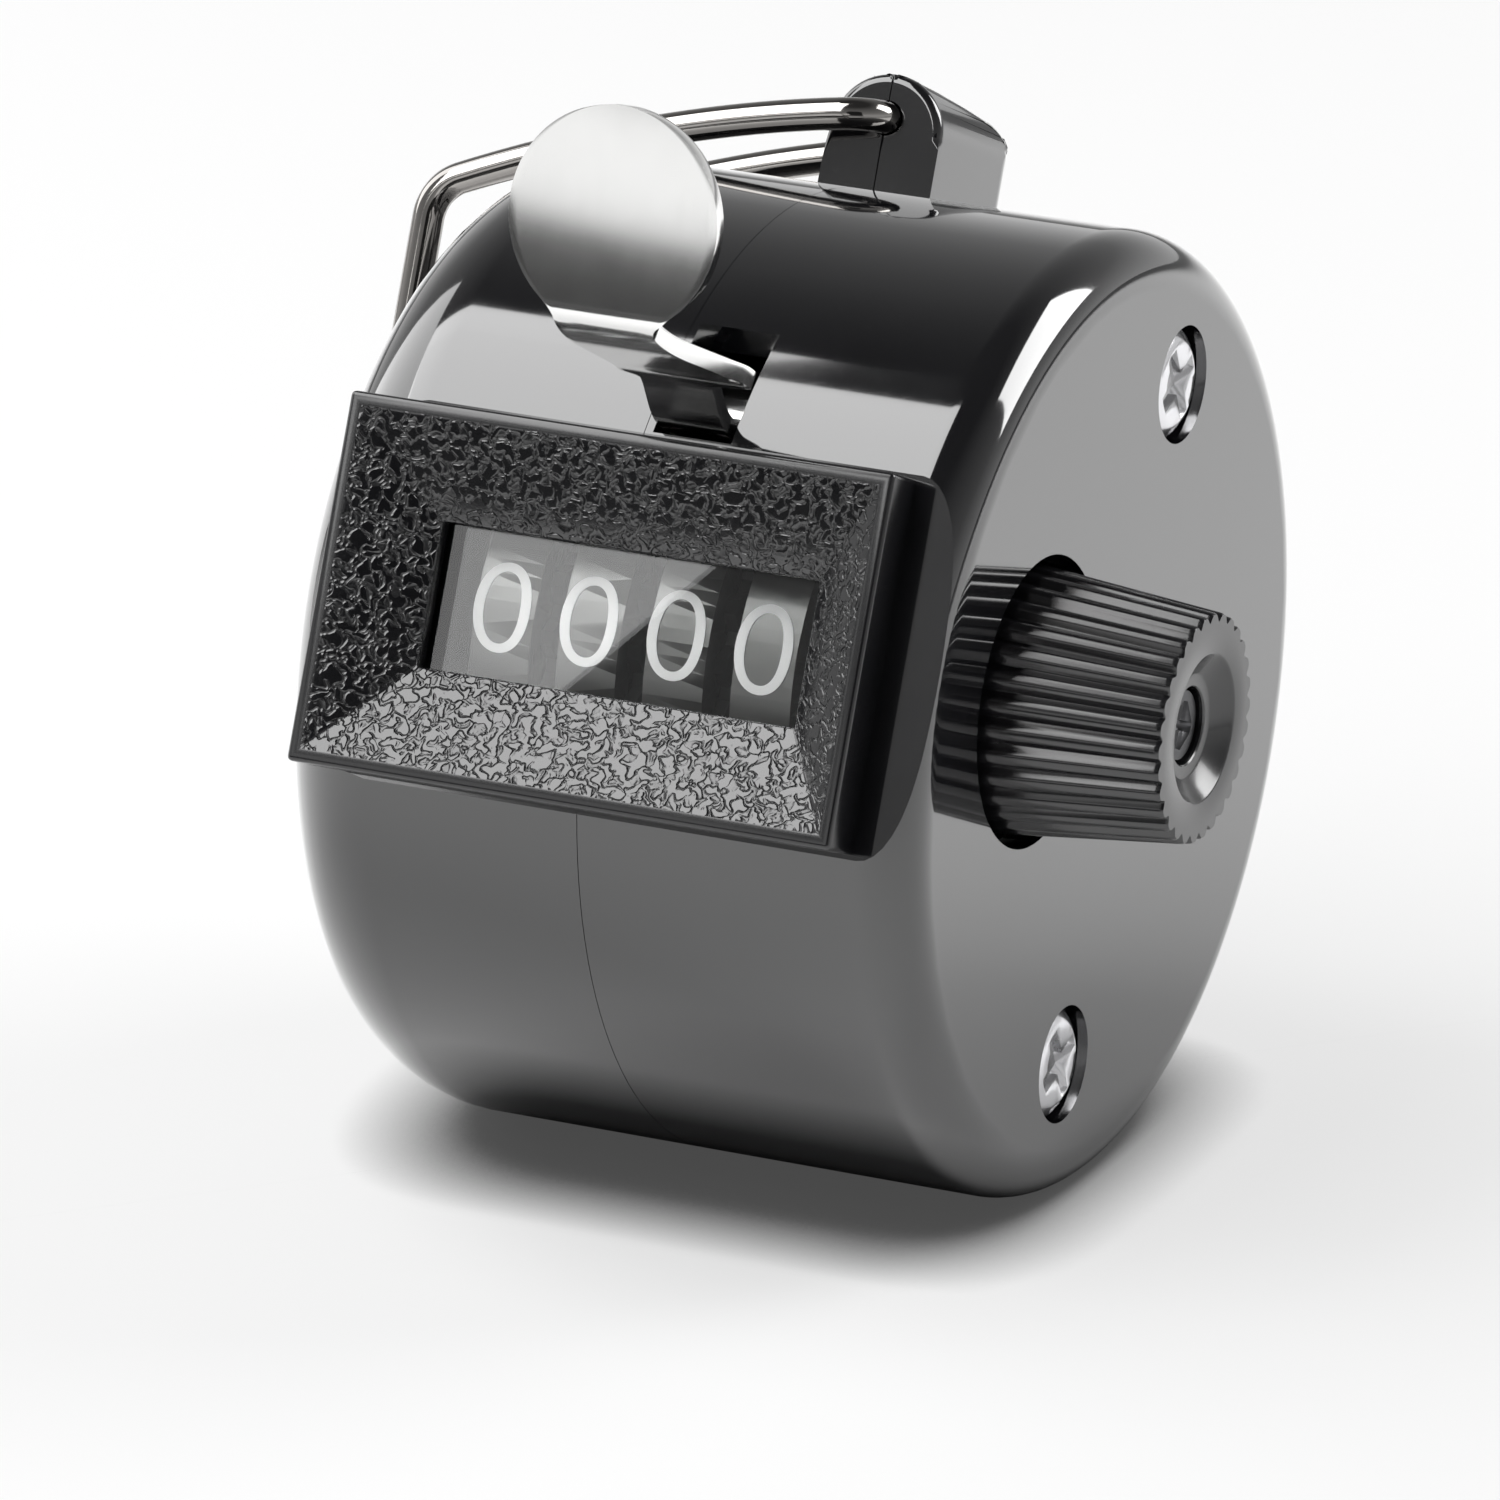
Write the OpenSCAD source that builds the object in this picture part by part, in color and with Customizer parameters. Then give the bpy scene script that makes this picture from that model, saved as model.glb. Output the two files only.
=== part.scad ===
// Hand tally counter: a drum case in two halves, a four-wheel counting unit, a thumb lever,
// a reset knob and a wire finger ring. Millimetres. X runs along the drum towards the knob,
// -Y is the front and Z is up. The origin is on the table, under the drum's axis.

/* [Case] */
// Radius of the drum
case_r = 22; // [21.5:0.1:23]
// Width of the drum over both halves
case_w = 32; // [31:0.5:36]
// Wall of the case
case_wall = 1.6; // [1.2:0.1:1.8]
// Rounding of the right rim
right_rim = 2.5; // [2:0.1:3]
// Rounding of the left rim
left_rim = 5.5; // [5:0.1:6]
// Width of the flat that the case stands on
foot_w = 7; // [5:0.5:9]
// Angle that the case leans back as it stands
lean = 24; // [18:1:28]
// Height of the front flat that carries the bezel
seat_h = 17; // [16.8:0.1:17.4]
// Wall behind the bezel
front_wall = 1.2; // [1:0.1:1.3]

/* [Screws] */
// Distance of each case screw in from the top or bottom of the drum
screw_in = 6.5; // [6:0.1:7]
// Place of the case screws behind the axis
screw_y = 1.3; // [0:0.1:2]
// Radius of a screw's recess in the right face
recess_r = 2.7; // [2.6:0.1:2.9]
// Depth of a screw's recess
recess_d = 2; // [1.8:0.1:2.4]
// Radius of a screw's head
head_r = 2.45; // [2.2:0.05:2.5]
// Height of a screw's head
head_h = 1.8; // [1.4:0.1:1.9]
// Radius of a screw's thread
thread_r = 1; // [0.8:0.05:1.2]
// Radius of a screw post
post_r = 2.2; // [2:0.1:2.4]

/* [Window] */
// Width of the bezel
bezel_w = 26.4; // [25:0.1:27]
// Height of the bezel
bezel_h = 16.6; // [16:0.1:16.8]
// Depth of the bezel in front of its seat
bezel_d = 2.5; // [2.3:0.1:3]
// Flat rim round the bezel's front
bezel_rim = 0.6; // [0.4:0.1:1]
// Depth of the sloping sides
funnel_d = 1.8; // [1.4:0.1:2]
// Width of the opening over the digits
window_w = 18.3; // [18:0.1:18.8]
// Height of the opening over the digits
window_h = 6.5; // [6:0.1:7]
// Cover of the lens behind the bezel, all round
lens_lap = 1; // [0.6:0.1:1.2]
// Thickness of the lens
lens_t = 1; // [0.8:0.1:1]

/* [Counting unit] */
// Distance from the number wheels' axis forward to the front flat
wheel_forward = 11.29; // [11.2:0.01:11.6]
// Radius of a number wheel
wheel_r = 9.6; // [9:0.1:9.7]
// Width of a number wheel's rim
wheel_w = 2.9; // [2.7:0.1:3]
// Distance from one number wheel to the next
wheel_pitch = 4.25; // [4.2:0.01:4.3]
// Middle of the row of wheels, right of the seam
wheel_mid = 0.65; // [0.5:0.05:0.7]
// Radius of the main shaft
shaft_r = 1.5; // [1.3:0.05:1.6]
// Thickness of the frame's side plates
plate_t = 0.8; // [0.6:0.1:1]
// Radius of a frame pillar
pillar_r = 1.2; // [1:0.1:1.4]
// Tip radius of a transfer pinion
pinion_r = 3; // [2.6:0.1:3.1]
// Radius of the pinion shaft
pinion_shaft_r = 0.8; // [0.6:0.05:0.9]
// Tip radius of the ratchet wheel
ratchet_r = 4.55; // [4.4:0.05:4.7]

/* [Knob] */
// Length of the knob outside the case
knob_out = 8; // [7:0.1:9]
// Radius of the knob at its end
knob_end_r = 5.15; // [5:0.05:5.4]
// Radius of the knob at the case
knob_base_r = 5.95; // [5.8:0.05:6.1]
// Flutes round the knob
knob_flutes = 30; // [24:1:34]
// Radius of a flute
flute_r = 0.34; // [0.2:0.02:0.4]
// Gap between the knob and its hole in the case
knob_gap = 0.65; // [0.4:0.05:0.8]
// Radius of the countersink in the knob's end
sink_r = 3.3; // [3:0.1:3.6]

/* [Lever] */
// Thickness of the lever's sheet
lever_t = 0.8; // [0.7:0.05:0.9]
// Width of the lever's tongue in its slot
tongue_w = 3.4; // [3:0.1:3.6]
// Middle of the tongue, right of the seam
tongue_x = 2.3; // [2.2:0.05:2.6]
// Width of the lever's strip over the case
strip_w = 6.5; // [6:0.1:7]
// Middle of the strip over the case, right of the seam
strip_x = 2.9; // [2.6:0.05:3.1]
// Width of the strip below the thumb pad
neck_w = 4.4; // [4:0.1:4.8]
// Middle of the thumb pad, right of the seam
pad_x = 2.45; // [2.3:0.05:2.9]
// Radius of the thumb pad
pad_r = 4.93; // [4.6:0.05:5.6]
// Forward lean of the thumb pad
pad_lean = 15; // [10:1:20]
// Stroke of the lever in degrees
lever_stroke = 8; // [6:1:8]
// Radius of the lever's pin
lever_pin_r = 1.2; // [1:0.05:1.4]

/* [Ring] */
// Diameter of the ring's wire
wire_d = 1.5; // [1.3:0.05:1.6]
// Width of the boss that holds the ring
boss_w = 5.6; // [5.4:0.1:6]
// Height of the boss's top over the ring's pivot
boss_cap = 2.05; // [1.9:0.05:2.3]
// Length of the boss from front to back
boss_l = 9.2; // [8.6:0.1:11]
// Height of the ring's pivot above the top of the drum
boss_rise = 3.4; // [3.2:0.05:3.8]
// Reach of the ring past the left end of the drum
ring_past = 5.9; // [4.5:0.1:8]
// Drop of the ring's far end below its bend
ring_drop = 10.9; // [9:0.1:13]

/* [Hidden] */
$fn = 64;

// Clearances
run_gap = 0.06;
part_gap = 0.15;
cut = 1;

// Case
inner_r = case_r - case_wall;
axis_h = sqrt(case_r * case_r - foot_w * foot_w / 4);
seat_y = -sqrt(case_r * case_r - seat_h * seat_h / 4);
rim_steps = 10;

// Screw posts carry the plates on a shoulder
shoulder_r = post_r + 1;
screw_z = case_r - screw_in;
screw_end_x = -8;

// Counting unit along X, from the row of wheels outwards
wheel_y = seat_y + wheel_forward;
wheel_x = [for (i = [0:3]) wheel_mid + (1.5 - i) * wheel_pitch];
hub_w = wheel_pitch - 0.05;
hub_r = 2.6;
rim_t = 1.4;
web_t = 1;
row_right = wheel_x[0] + hub_w / 2;
row_left = wheel_x[3] - hub_w / 2;
ratchet_x = row_right + part_gap;
ratchet_w = 0.9;
side_gap = 0.5;
arm_x = ratchet_x + ratchet_w + side_gap;
plate_right_x = arm_x + lever_t + side_gap;
plate_left_x = row_left - 1;
plate_r = inner_r - 0.8;
plate_back = wheel_y + 18.5;
plate_front = wheel_y - 4;
collar_w = row_left - plate_left_x - 2 * part_gap;

// The right half is as wide as the unit and its screws need, and the left half takes the rest
recess_floor = 1.225;
recess_x = plate_right_x + plate_t + recess_floor;
right_w = recess_x + recess_d;
left_w = case_w - right_w;

// Gears of the transfer train
gear_teeth = 20;
gear_r = 8.6;
gear_root_r = 7.8;
gear_w = 0.55;
pinion_teeth = 8;
pinion_root_r = pinion_r - 0.8;
pinion_w = wheel_pitch - wheel_w - 2 * 0.1;
pinion_y = wheel_y + gear_r + pinion_r + 0.2;
// Upper pillar behind the wheels, lower one ahead of the lower screw and set in from the drum
pillar_back = 16;
pillar_up = 5;
pillar_ahead = 5.3;
pillar_in = 7.5;
pillars = [[wheel_y + pillar_back, pillar_up], [screw_y - pillar_ahead, pillar_in - case_r]];

// Ratchet and pawl: the nose lies between two teeth and stays there through the stroke
ratchet_teeth = 10;
ratchet_root_r = ratchet_r - 1;
nose_angle = 179.5;
nose_r = ratchet_r - 0.35;
nose_lean = 166.3;
nose_w = 0.6;
nose_l = 2.2;
pawl_w = 1.2;
pawl_pivot = [wheel_y + 0.24, 11.43];
pawl_eye_r = 1.35;
pawl_pin_r = 0.6;
nose = [wheel_y + nose_r * cos(nose_angle), nose_r * sin(nose_angle)];
nose_top = nose + nose_l * [cos(nose_lean), sin(nose_lean)];

// Lever as a line in the YZ plane: inside the case, out through the slot, up to the pad
lever_pivot = [wheel_y + 13, -6];
lever_eye_r = 2.5;
lever_arm_w = 2.6;
bridge_top = [seat_y + 4.89, seat_h / 2 + 3.5];
bridge_foot = [seat_y + 3.09, seat_h / 2 + 0.6];
slot_out = [seat_y - 0.3, seat_h / 2 + 0.8];
strip_rise = [seat_y - 2.8, seat_h / 2 + 2.9];
strip_out = 8.4;
strip_climb = 1.4;
pad_neck = 4.1;
pad_foot = strip_rise + [-strip_out, strip_climb];
pad_dir = [-sin(pad_lean), cos(pad_lean)];
pad_mid = pad_foot + pad_neck * pad_dir;
strip_bend = 0.9;
tongue_left = tongue_x - tongue_w / 2;
tongue_right = tongue_x + tongue_w / 2;
strip_left = strip_x - strip_w / 2;
strip_right = strip_x + strip_w / 2;
slot_gap = 0.2;
slot_low = atan2(slot_out[1], slot_out[0]) + 1.3;
slot_high = slot_low - 2 * lever_stroke;

// Lever spring: a coil round the pin with two legs
coil_r = 2.1;
coil_wire = 0.5;
coil_turns = 4;
coil_rings = 12;
coil_x = 4.2;
coil_w = ratchet_x - coil_x - 0.6;
fixed_leg_l = 5;
lever_leg_l = 4;

// Knob along X
knob_in_x = plate_right_x + plate_t + side_gap;
knob_end_x = right_w + knob_out;
knob_taper = (knob_base_r - knob_end_r) / knob_out;
knob_in_r = knob_base_r + knob_taper * (right_w - knob_in_x);
knob_hole_r = knob_base_r + knob_gap;
sink_d = 0.8;
sink_foot_r = sink_r - 0.95;
pocket_r = sink_foot_r - 0.6;
pocket_d = 1.2;
web_x = knob_end_x - sink_d - pocket_d;
web_w = 1.4;
shaft_end_x = web_x - web_w;
shaft_past = 1.3;
shaft_left_x = plate_left_x - plate_t - shaft_past;
knob_screw_r = 0.8;
knob_screw_l = 4;
clip_t = 0.5;
clip_lap = 1;
groove_x = plate_left_x - plate_t - part_gap - clip_t;
groove_r = shaft_r - 0.4;

// Ring: half of the wire's line, from the boss to the middle of the crossbar
wire_r = wire_d / 2;
boss_r = boss_w / 2;
boss_z = case_r + boss_rise;
ring_reach = left_w + ring_past;
leg_y = -wire_r - 0.8;
hook_r = 1.6;
leg_steps = 6;
leg_fall = 1.35;
leg_bow = 0.87;
leg_run = left_w - left_rim;
bend_r = 2.2;
bend_steps = 6;
stub_l = 3;
stub_r = wire_r + 0.02;
stub_lap = 0.3;
ring_mid_y = boss_l / 2;
wire_sides = 10;

function arc(c, r, a0, a1, n) =
    [for (i = [0:n]) let (a = a0 + (a1 - a0) * i / n) c + r * [cos(a), sin(a)]];
function unit(v) = v / norm(v);
// A line with its corners rounded, and the points to one side of it
function corner(a, p, b, d, n) = let (s = p + d * unit(a - p), e = p + d * unit(b - p))
    [for (i = [0:n]) let (t = i / n) (1 - t) * (1 - t) * s + 2 * t * (1 - t) * p + t * t * e];
function rounded(line, d, n) = concat([line[0]],
    [for (i = [1:len(line) - 2]) each corner(line[i - 1], line[i], line[i + 1], d, n)],
    [line[len(line) - 1]]);
function left_of(v) = [-v[1], v[0]];
function beside(line, i, h) = let (last = len(line) - 1,
    a = left_of(unit(line[max(i, 1)] - line[max(i, 1) - 1])),
    b = left_of(unit(line[min(i, last - 1) + 1] - line[min(i, last - 1)])), m = unit(a + b))
    line[i] + h / (m * b) * m;
function squared(s, t) = unit(s - (s * t) * t);
function leg_z(s) = boss_z - leg_fall * s / leg_run - leg_bow * s * s / leg_run / leg_run;

// Helpers
module stand() translate([0, 0, axis_h]) rotate([-lean, 0, 0]) children();
module rod(x0, x1, r, p) translate([x0, p[0], p[1]]) rotate([0, 90, 0]) cylinder(r = r, h = x1 - x0);
module sheet(x0, x1) translate([x0, 0, 0]) rotate([90, 0, 90]) linear_extrude(x1 - x0) children();
module block(x0, x1, y0, y1, z0, z1) translate([x0, y0, z0]) cube([x1 - x0, y1 - y0, z1 - z0]);

// A flat bar of width w between two points of the YZ plane
module bar(x0, x1, p, q, w) {
    d = q - p;
    sheet(x0, x1) translate(p) rotate(atan2(d[1], d[0])) translate([0, -w / 2]) square([norm(d), w]);
}

// A bent sheet of thickness t along a line of the YZ plane
module ribbon(x0, x1, line, t) {
    last = len(line) - 1;
    sheet(x0, x1) polygon(concat([for (i = [0:last]) beside(line, i, t / 2)],
        [for (i = [last:-1:0]) beside(line, i, -t / 2)]));
}

// A tube along a line of points, with rings square to the line that start facing one way
module tube(path, start, r, sides) {
    n = len(path);
    tangent = [for (i = [0:n - 1]) unit(path[min(i + 1, n - 1)] - path[max(i - 1, 0)])];
    side = [for (i = 0, s = squared(start, tangent[0]); i < n;
                 i = i + 1, s = i < n ? squared(s, tangent[i]) : s) s];
    points = [for (i = [0:n - 1]) for (k = [0:sides - 1])
        path[i] + r * (cos(360 * k / sides) * side[i] + sin(360 * k / sides) * cross(tangent[i], side[i]))];
    walls = [for (i = [0:n - 2]) for (k = [0:sides - 1]) for (f = [0, 1])
        f == 0 ? [i * sides + k, (i + 1) * sides + k, i * sides + (k + 1) % sides]
               : [i * sides + (k + 1) % sides, (i + 1) * sides + k, (i + 1) * sides + (k + 1) % sides]];
    polyhedron(points, concat(walls, [[for (k = [0:sides - 1]) k]],
        [[for (k = [sides - 1:-1:0]) (n - 1) * sides + k]]));
}

// A closed half drum along +X, from its open face to its rounded rim
module half_drum(r, w, rim, back) {
    rotate([0, 90, 0]) rotate_extrude()
        polygon(concat([[0, -back], [r, -back]], arc([r - rim, w - rim], rim, 0, 90, rim_steps), [[0, w]]));
}

// The boss's right half: upright sides under an arch, rounded at the back
module half_boss() {
    back_r = 2.8;
    corner_r = 1.6;
    drop = 0.9;
    root = case_r * 0.7;
    top = boss_z + boss_cap;
    intersection() {
        translate([0, boss_l, 0]) rotate([90, 0, 0]) linear_extrude(boss_l)
            polygon(concat([[0, root], [boss_r, root]],
                arc([0, top - boss_r], boss_r, 0, 90, 2 * rim_steps)));
        sheet(0, boss_r) polygon(concat([[0, 0], [boss_l, 0]],
            arc([boss_l - back_r, top - drop - back_r], back_r, 0, 85, rim_steps), [[0, top]]));
        linear_extrude(2 * case_r) polygon(concat([[0, boss_l], [0, 0], [boss_r, 0]],
            arc([boss_r - corner_r, boss_l - corner_r], corner_r, 0, 90, rim_steps)));
    }
}

// What both halves have: wall, front flat, posts and half of the boss
module half_case(w, rim, shoulder_x) {
    inner_x = w - case_wall;
    cavity_rim = max(rim - case_wall, 0.5);
    difference() {
        union() {
            difference() {
                union() {
                    half_drum(case_r, w, rim, 0);
                    half_boss();
                }
                half_drum(inner_r, inner_x, cavity_rim, cut);
            }
            intersection() {
                half_drum(case_r - case_wall / 2, w - case_wall / 2, rim, 0);
                block(0, w, seat_y, seat_y + front_wall, -case_r, case_r);
            }
            for (s = [-1, 1]) {
                rod(0, inner_x + case_wall / 2, post_r, [screw_y, s * screw_z]);
                rod(shoulder_x, inner_x + case_wall / 2, shoulder_r, [screw_y, s * screw_z]);
            }
        }
        block(-cut, w + cut, -2 * case_r, seat_y, -case_r, seat_h / 2);
        translate([0, 0, boss_z]) rotate([-90, 0, 0])
            translate([0, 0, -cut]) cylinder(r = wire_r + run_gap, h = boss_l + 2 * cut);
    }
}

module window_cut(gap) {
    w = window_w + 2 * (lens_lap + gap);
    h = window_h + 2 * (lens_lap + gap);
    block(wheel_mid - w / 2, wheel_mid + w / 2, seat_y - cut, seat_y + front_wall + cut, -h / 2, h / 2);
}

module floor_cut() translate([-case_w, -case_w, -case_w]) cube([2 * case_w, 2 * case_w, case_w]);

module left_shell() {
    color([0.03, 0.03, 0.035]) difference() {
        stand() difference() {
            mirror([1, 0, 0]) half_case(left_w, left_rim, -(plate_left_x - plate_t));
            window_cut(part_gap);
            for (s = [-1, 1])
                rod(screw_end_x - 1, cut, thread_r + run_gap, [screw_y, s * screw_z]);
        }
        floor_cut();
    }
}

module lever_slot() {
    wedge = [for (a = [slot_low, slot_high]) [cos(a), sin(a)]];
    sheet(tongue_left - slot_gap, tongue_right + slot_gap)
        polygon([0.8 * case_r * wedge[0], 1.2 * case_r * wedge[0],
                 1.2 * case_r * wedge[1], 0.8 * case_r * wedge[1]]);
}

module right_shell() {
    color([0.03, 0.03, 0.035]) difference() {
        stand() difference() {
            half_case(right_w, right_rim, plate_right_x + plate_t);
            window_cut(part_gap);
            lever_slot();
            rod(plate_right_x + plate_t, right_w + cut, knob_hole_r, [wheel_y, 0]);
            for (s = [-1, 1]) {
                rod(recess_x, right_w + cut, recess_r, [screw_y, s * screw_z]);
                rod(-cut, right_w, thread_r + 2 * run_gap, [screw_y, s * screw_z]);
            }
        }
        floor_cut();
    }
}

module bezel() {
    front = seat_y - bezel_d;
    inner_w = bezel_w - 2 * bezel_rim;
    inner_h = bezel_h - 2 * bezel_rim;
    thin = 0.01;
    color([0.04, 0.04, 0.045]) stand() difference() {
        block(-bezel_w / 2, bezel_w / 2, front, seat_y, -bezel_h / 2, bezel_h / 2);
        hull() {
            block(-inner_w / 2, inner_w / 2, front - thin, front, -inner_h / 2, inner_h / 2);
            block(wheel_mid - window_w / 2, wheel_mid + window_w / 2,
                  front + funnel_d - thin, front + funnel_d, -window_h / 2, window_h / 2);
        }
        block(wheel_mid - window_w / 2, wheel_mid + window_w / 2, front, seat_y + cut,
              -window_h / 2, window_h / 2);
    }
}

module window_lens() {
    w = window_w + 2 * lens_lap;
    h = window_h + 2 * lens_lap;
    color([0.8, 0.85, 0.85, 0.3]) stand()
        block(wheel_mid - w / 2, wheel_mid + w / 2, seat_y, seat_y + lens_t, -h / 2, h / 2);
}

module case_screw() {
    dome = 0.4;
    slot_w = 0.7;
    slot_l = 1.4 * head_r;
    rotate([0, 90, 0]) difference() {
        union() {
            translate([0, 0, screw_end_x - recess_x])
                cylinder(r = thread_r, h = recess_x - screw_end_x + head_h / 2);
            cylinder(r = head_r, h = head_h - dome);
            translate([0, 0, head_h - dome]) cylinder(r1 = head_r, r2 = 0.75 * head_r, h = dome);
        }
        for (a = [45, 135]) rotate(a)
            translate([-slot_l / 2, -slot_w / 2, head_h - 0.7]) cube([slot_l, slot_w, 1]);
    }
}

module case_screws() {
    color([0.75, 0.75, 0.77]) stand() for (s = [-1, 1])
        translate([recess_x, screw_y, s * screw_z]) case_screw();
}

// Half of the wire's line, from the boss round to the crossbar
function half_ring() = let (
    far_z = leg_z(ring_reach - bend_r),
    leg_l = ring_reach - bend_r - hook_r,
    leg = [for (i = [0:leg_steps]) let (s = hook_r + leg_l * i / leg_steps) [-s, leg_y, leg_z(s)]],
    hook = [for (i = [0:bend_steps - 1]) let (a = 90 * i / bend_steps)
        [-hook_r * (1 - cos(a)), leg_y + hook_r * (1 - sin(a)), leg_z(hook_r * (1 - cos(a)))]],
    tip = atan(leg_fall / leg_run + 2 * leg_bow * (ring_reach - bend_r) / leg_run / leg_run),
    knee = [for (i = [1:bend_steps]) let (a = 90 + tip + (90 - tip) * i / bend_steps)
        [-ring_reach + bend_r + bend_r * (cos(a) - cos(90 + tip)), leg_y,
         far_z + bend_r * (sin(a) - sin(90 + tip))]],
    foot_x = knee[bend_steps - 1][0],
    foot_z = far_z - ring_drop,
    turn = [for (i = [0:bend_steps]) let (a = 90 * i / bend_steps)
        [foot_x, leg_y + bend_r * (1 - cos(a)), foot_z + bend_r * (1 - sin(a))]])
    concat([[0, leg_y + hook_r + stub_lap, boss_z]], hook, leg, knee, turn);

module finger_ring() {
    front = half_ring();
    back = [for (i = [len(front) - 1:-1:0]) [front[i][0], 2 * ring_mid_y - front[i][1], front[i][2]]];
    color([0.75, 0.76, 0.78]) stand() union() {
        tube(concat(front, back), [1, 0, 0], wire_r, wire_sides);
        for (y = [leg_y + hook_r, 2 * ring_mid_y - leg_y - hook_r - stub_l])
            translate([0, y, boss_z]) rotate([-90, 0, 0]) cylinder(r = stub_r, h = stub_l);
    }
}

// The strip seen from above: wide over the case and narrower below the pad
module strip_plan() {
    neck_y = pad_foot[0] + strip_bend;
    end_y = pad_mid[0] - pad_r;
    linear_extrude(2 * case_r)
        polygon([[strip_left, strip_rise[0] + cut], [strip_left, strip_rise[0]],
                 [pad_x - neck_w / 2, neck_y], [pad_x - neck_w / 2, end_y],
                 [pad_x + neck_w / 2, end_y], [pad_x + neck_w / 2, neck_y],
                 [strip_right, strip_rise[0]], [strip_right, strip_rise[0] + cut]]);
}

module thumb_lever() {
    bridge_mid = (bridge_top + bridge_foot) / 2;
    ear = lever_pivot + (bridge_mid - lever_pivot) * 0.62;
    strip_mid = (strip_rise + pad_foot) / 2;
    tongue = rounded([bridge_top, bridge_foot, slot_out, strip_rise, strip_mid], strip_bend, bend_steps);
    strip = rounded([strip_rise + strip_bend * unit(strip_mid - strip_rise), pad_foot, pad_mid],
                    strip_bend, bend_steps);
    color([0.8, 0.8, 0.81]) stand() difference() {
        union() {
            rod(ratchet_x, arm_x + lever_t, lever_eye_r, lever_pivot);
            bar(arm_x, arm_x + lever_t, lever_pivot, bridge_mid, lever_arm_w);
            bar(arm_x, arm_x + lever_t, ear, pawl_pivot, 1.6 * pawl_eye_r);
            rod(arm_x, arm_x + lever_t, pawl_eye_r, pawl_pivot);
            bar(tongue_right, arm_x + lever_t, bridge_top, (bridge_top + 3 * bridge_foot) / 4, lever_t);
            ribbon(tongue_left, tongue_right, tongue, lever_t);
            intersection() {
                ribbon(strip_left, strip_right, strip, lever_t);
                strip_plan();
            }
            translate([pad_x, pad_mid[0], pad_mid[1]]) rotate([90 + pad_lean, 0, 0])
                translate([0, 0, -lever_t / 2]) cylinder(r = pad_r, h = lever_t);
        }
        rod(ratchet_x - cut, arm_x + lever_t + cut, lever_pin_r + run_gap, lever_pivot);
        rod(arm_x - cut, arm_x + lever_t + cut, pawl_pin_r, pawl_pivot);
    }
}

module lever_pin() {
    color([0.7, 0.7, 0.72]) stand()
        rod(plate_left_x - plate_t, plate_right_x + plate_t, lever_pin_r, lever_pivot);
}

module lever_spring() {
    steps = coil_turns * coil_rings;
    p = [0, lever_pivot[0], lever_pivot[1]];
    coil = [for (i = [0:steps]) let (a = 360 * i / coil_rings)
        p + [coil_x + coil_w * i / steps, coil_r * cos(a), coil_r * sin(a)]];
    fixed_leg = p + [coil_x, coil_r, -fixed_leg_l];
    lever_leg = p + [coil_x + coil_w, coil_r, lever_leg_l];
    color([0.7, 0.7, 0.72]) stand()
        tube(concat([fixed_leg], coil, [lever_leg]), [1, 0, 0], coil_wire / 2, 6);
}

module drive_pawl() {
    x0 = ratchet_x;
    x1 = ratchet_x + ratchet_w;
    color([0.72, 0.72, 0.74]) stand() difference() {
        union() {
            rod(x0, x1, pawl_eye_r, pawl_pivot);
            bar(x0, x1, pawl_pivot, nose_top, pawl_w);
            rod(x0, x1, 0.6 * pawl_w, nose_top);
            bar(x0, x1, nose_top, nose, nose_w);
        }
        rod(x0 - cut, x1 + cut, pawl_pin_r + run_gap, pawl_pivot);
    }
}

module pawl_pin() {
    color([0.7, 0.7, 0.72]) stand() rod(ratchet_x, arm_x + lever_t, pawl_pin_r, pawl_pivot);
}

module ratchet_wheel() {
    step = 360 / ratchet_teeth;
    tooth = [[-8, ratchet_root_r], [-3, ratchet_r], [4, ratchet_r], [5, ratchet_root_r]];
    color([0.78, 0.68, 0.42]) stand() difference() {
        sheet(ratchet_x, ratchet_x + ratchet_w) translate([wheel_y, 0])
            polygon([for (i = [0:ratchet_teeth - 1]) for (t = tooth)
                let (a = nose_angle + step * (i + 0.5) + t[0]) t[1] * [cos(a), sin(a)]]);
        rod(ratchet_x - cut, arm_x, shaft_r + run_gap, [wheel_y, 0]);
    }
}

module detent_spring() {
    seat = pillars[1];
    tip = [wheel_y, 0] + (ratchet_r + 0.3) * unit(seat - [wheel_y, 0]);
    color([0.72, 0.72, 0.74]) stand() difference() {
        union() {
            rod(ratchet_x, ratchet_x + ratchet_w, pillar_r + 0.8, seat);
            bar(ratchet_x, ratchet_x + ratchet_w, seat, tip, 0.4);
        }
        rod(ratchet_x - cut, arm_x, pillar_r + run_gap, seat);
    }
}

// A side plate with holes for the posts, pins and shafts
module side_plate(x0) {
    x1 = x0 + plate_t;
    difference() {
        intersection() {
            rod(x0, x1, plate_r, [0, 0]);
            block(x0, x1, plate_front, plate_back, -plate_r, plate_r);
        }
        for (s = [-1, 1]) rod(x0 - cut, x1 + cut, post_r + run_gap, [screw_y, s * screw_z]);
        rod(x0 - cut, x1 + cut, shaft_r + run_gap, [wheel_y, 0]);
        rod(x0 - cut, x1 + cut, lever_pin_r, lever_pivot);
        rod(x0 - cut, x1 + cut, pinion_shaft_r, [pinion_y, 0]);
    }
}

module frame_plate_left() color([0.7, 0.7, 0.68]) stand() side_plate(plate_left_x - plate_t);
module frame_plate_right() color([0.7, 0.7, 0.68]) stand() side_plate(plate_right_x);

module frame_pillars() {
    color([0.72, 0.72, 0.74]) stand() for (p = pillars) rod(plate_left_x, plate_right_x, pillar_r, p);
}

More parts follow.
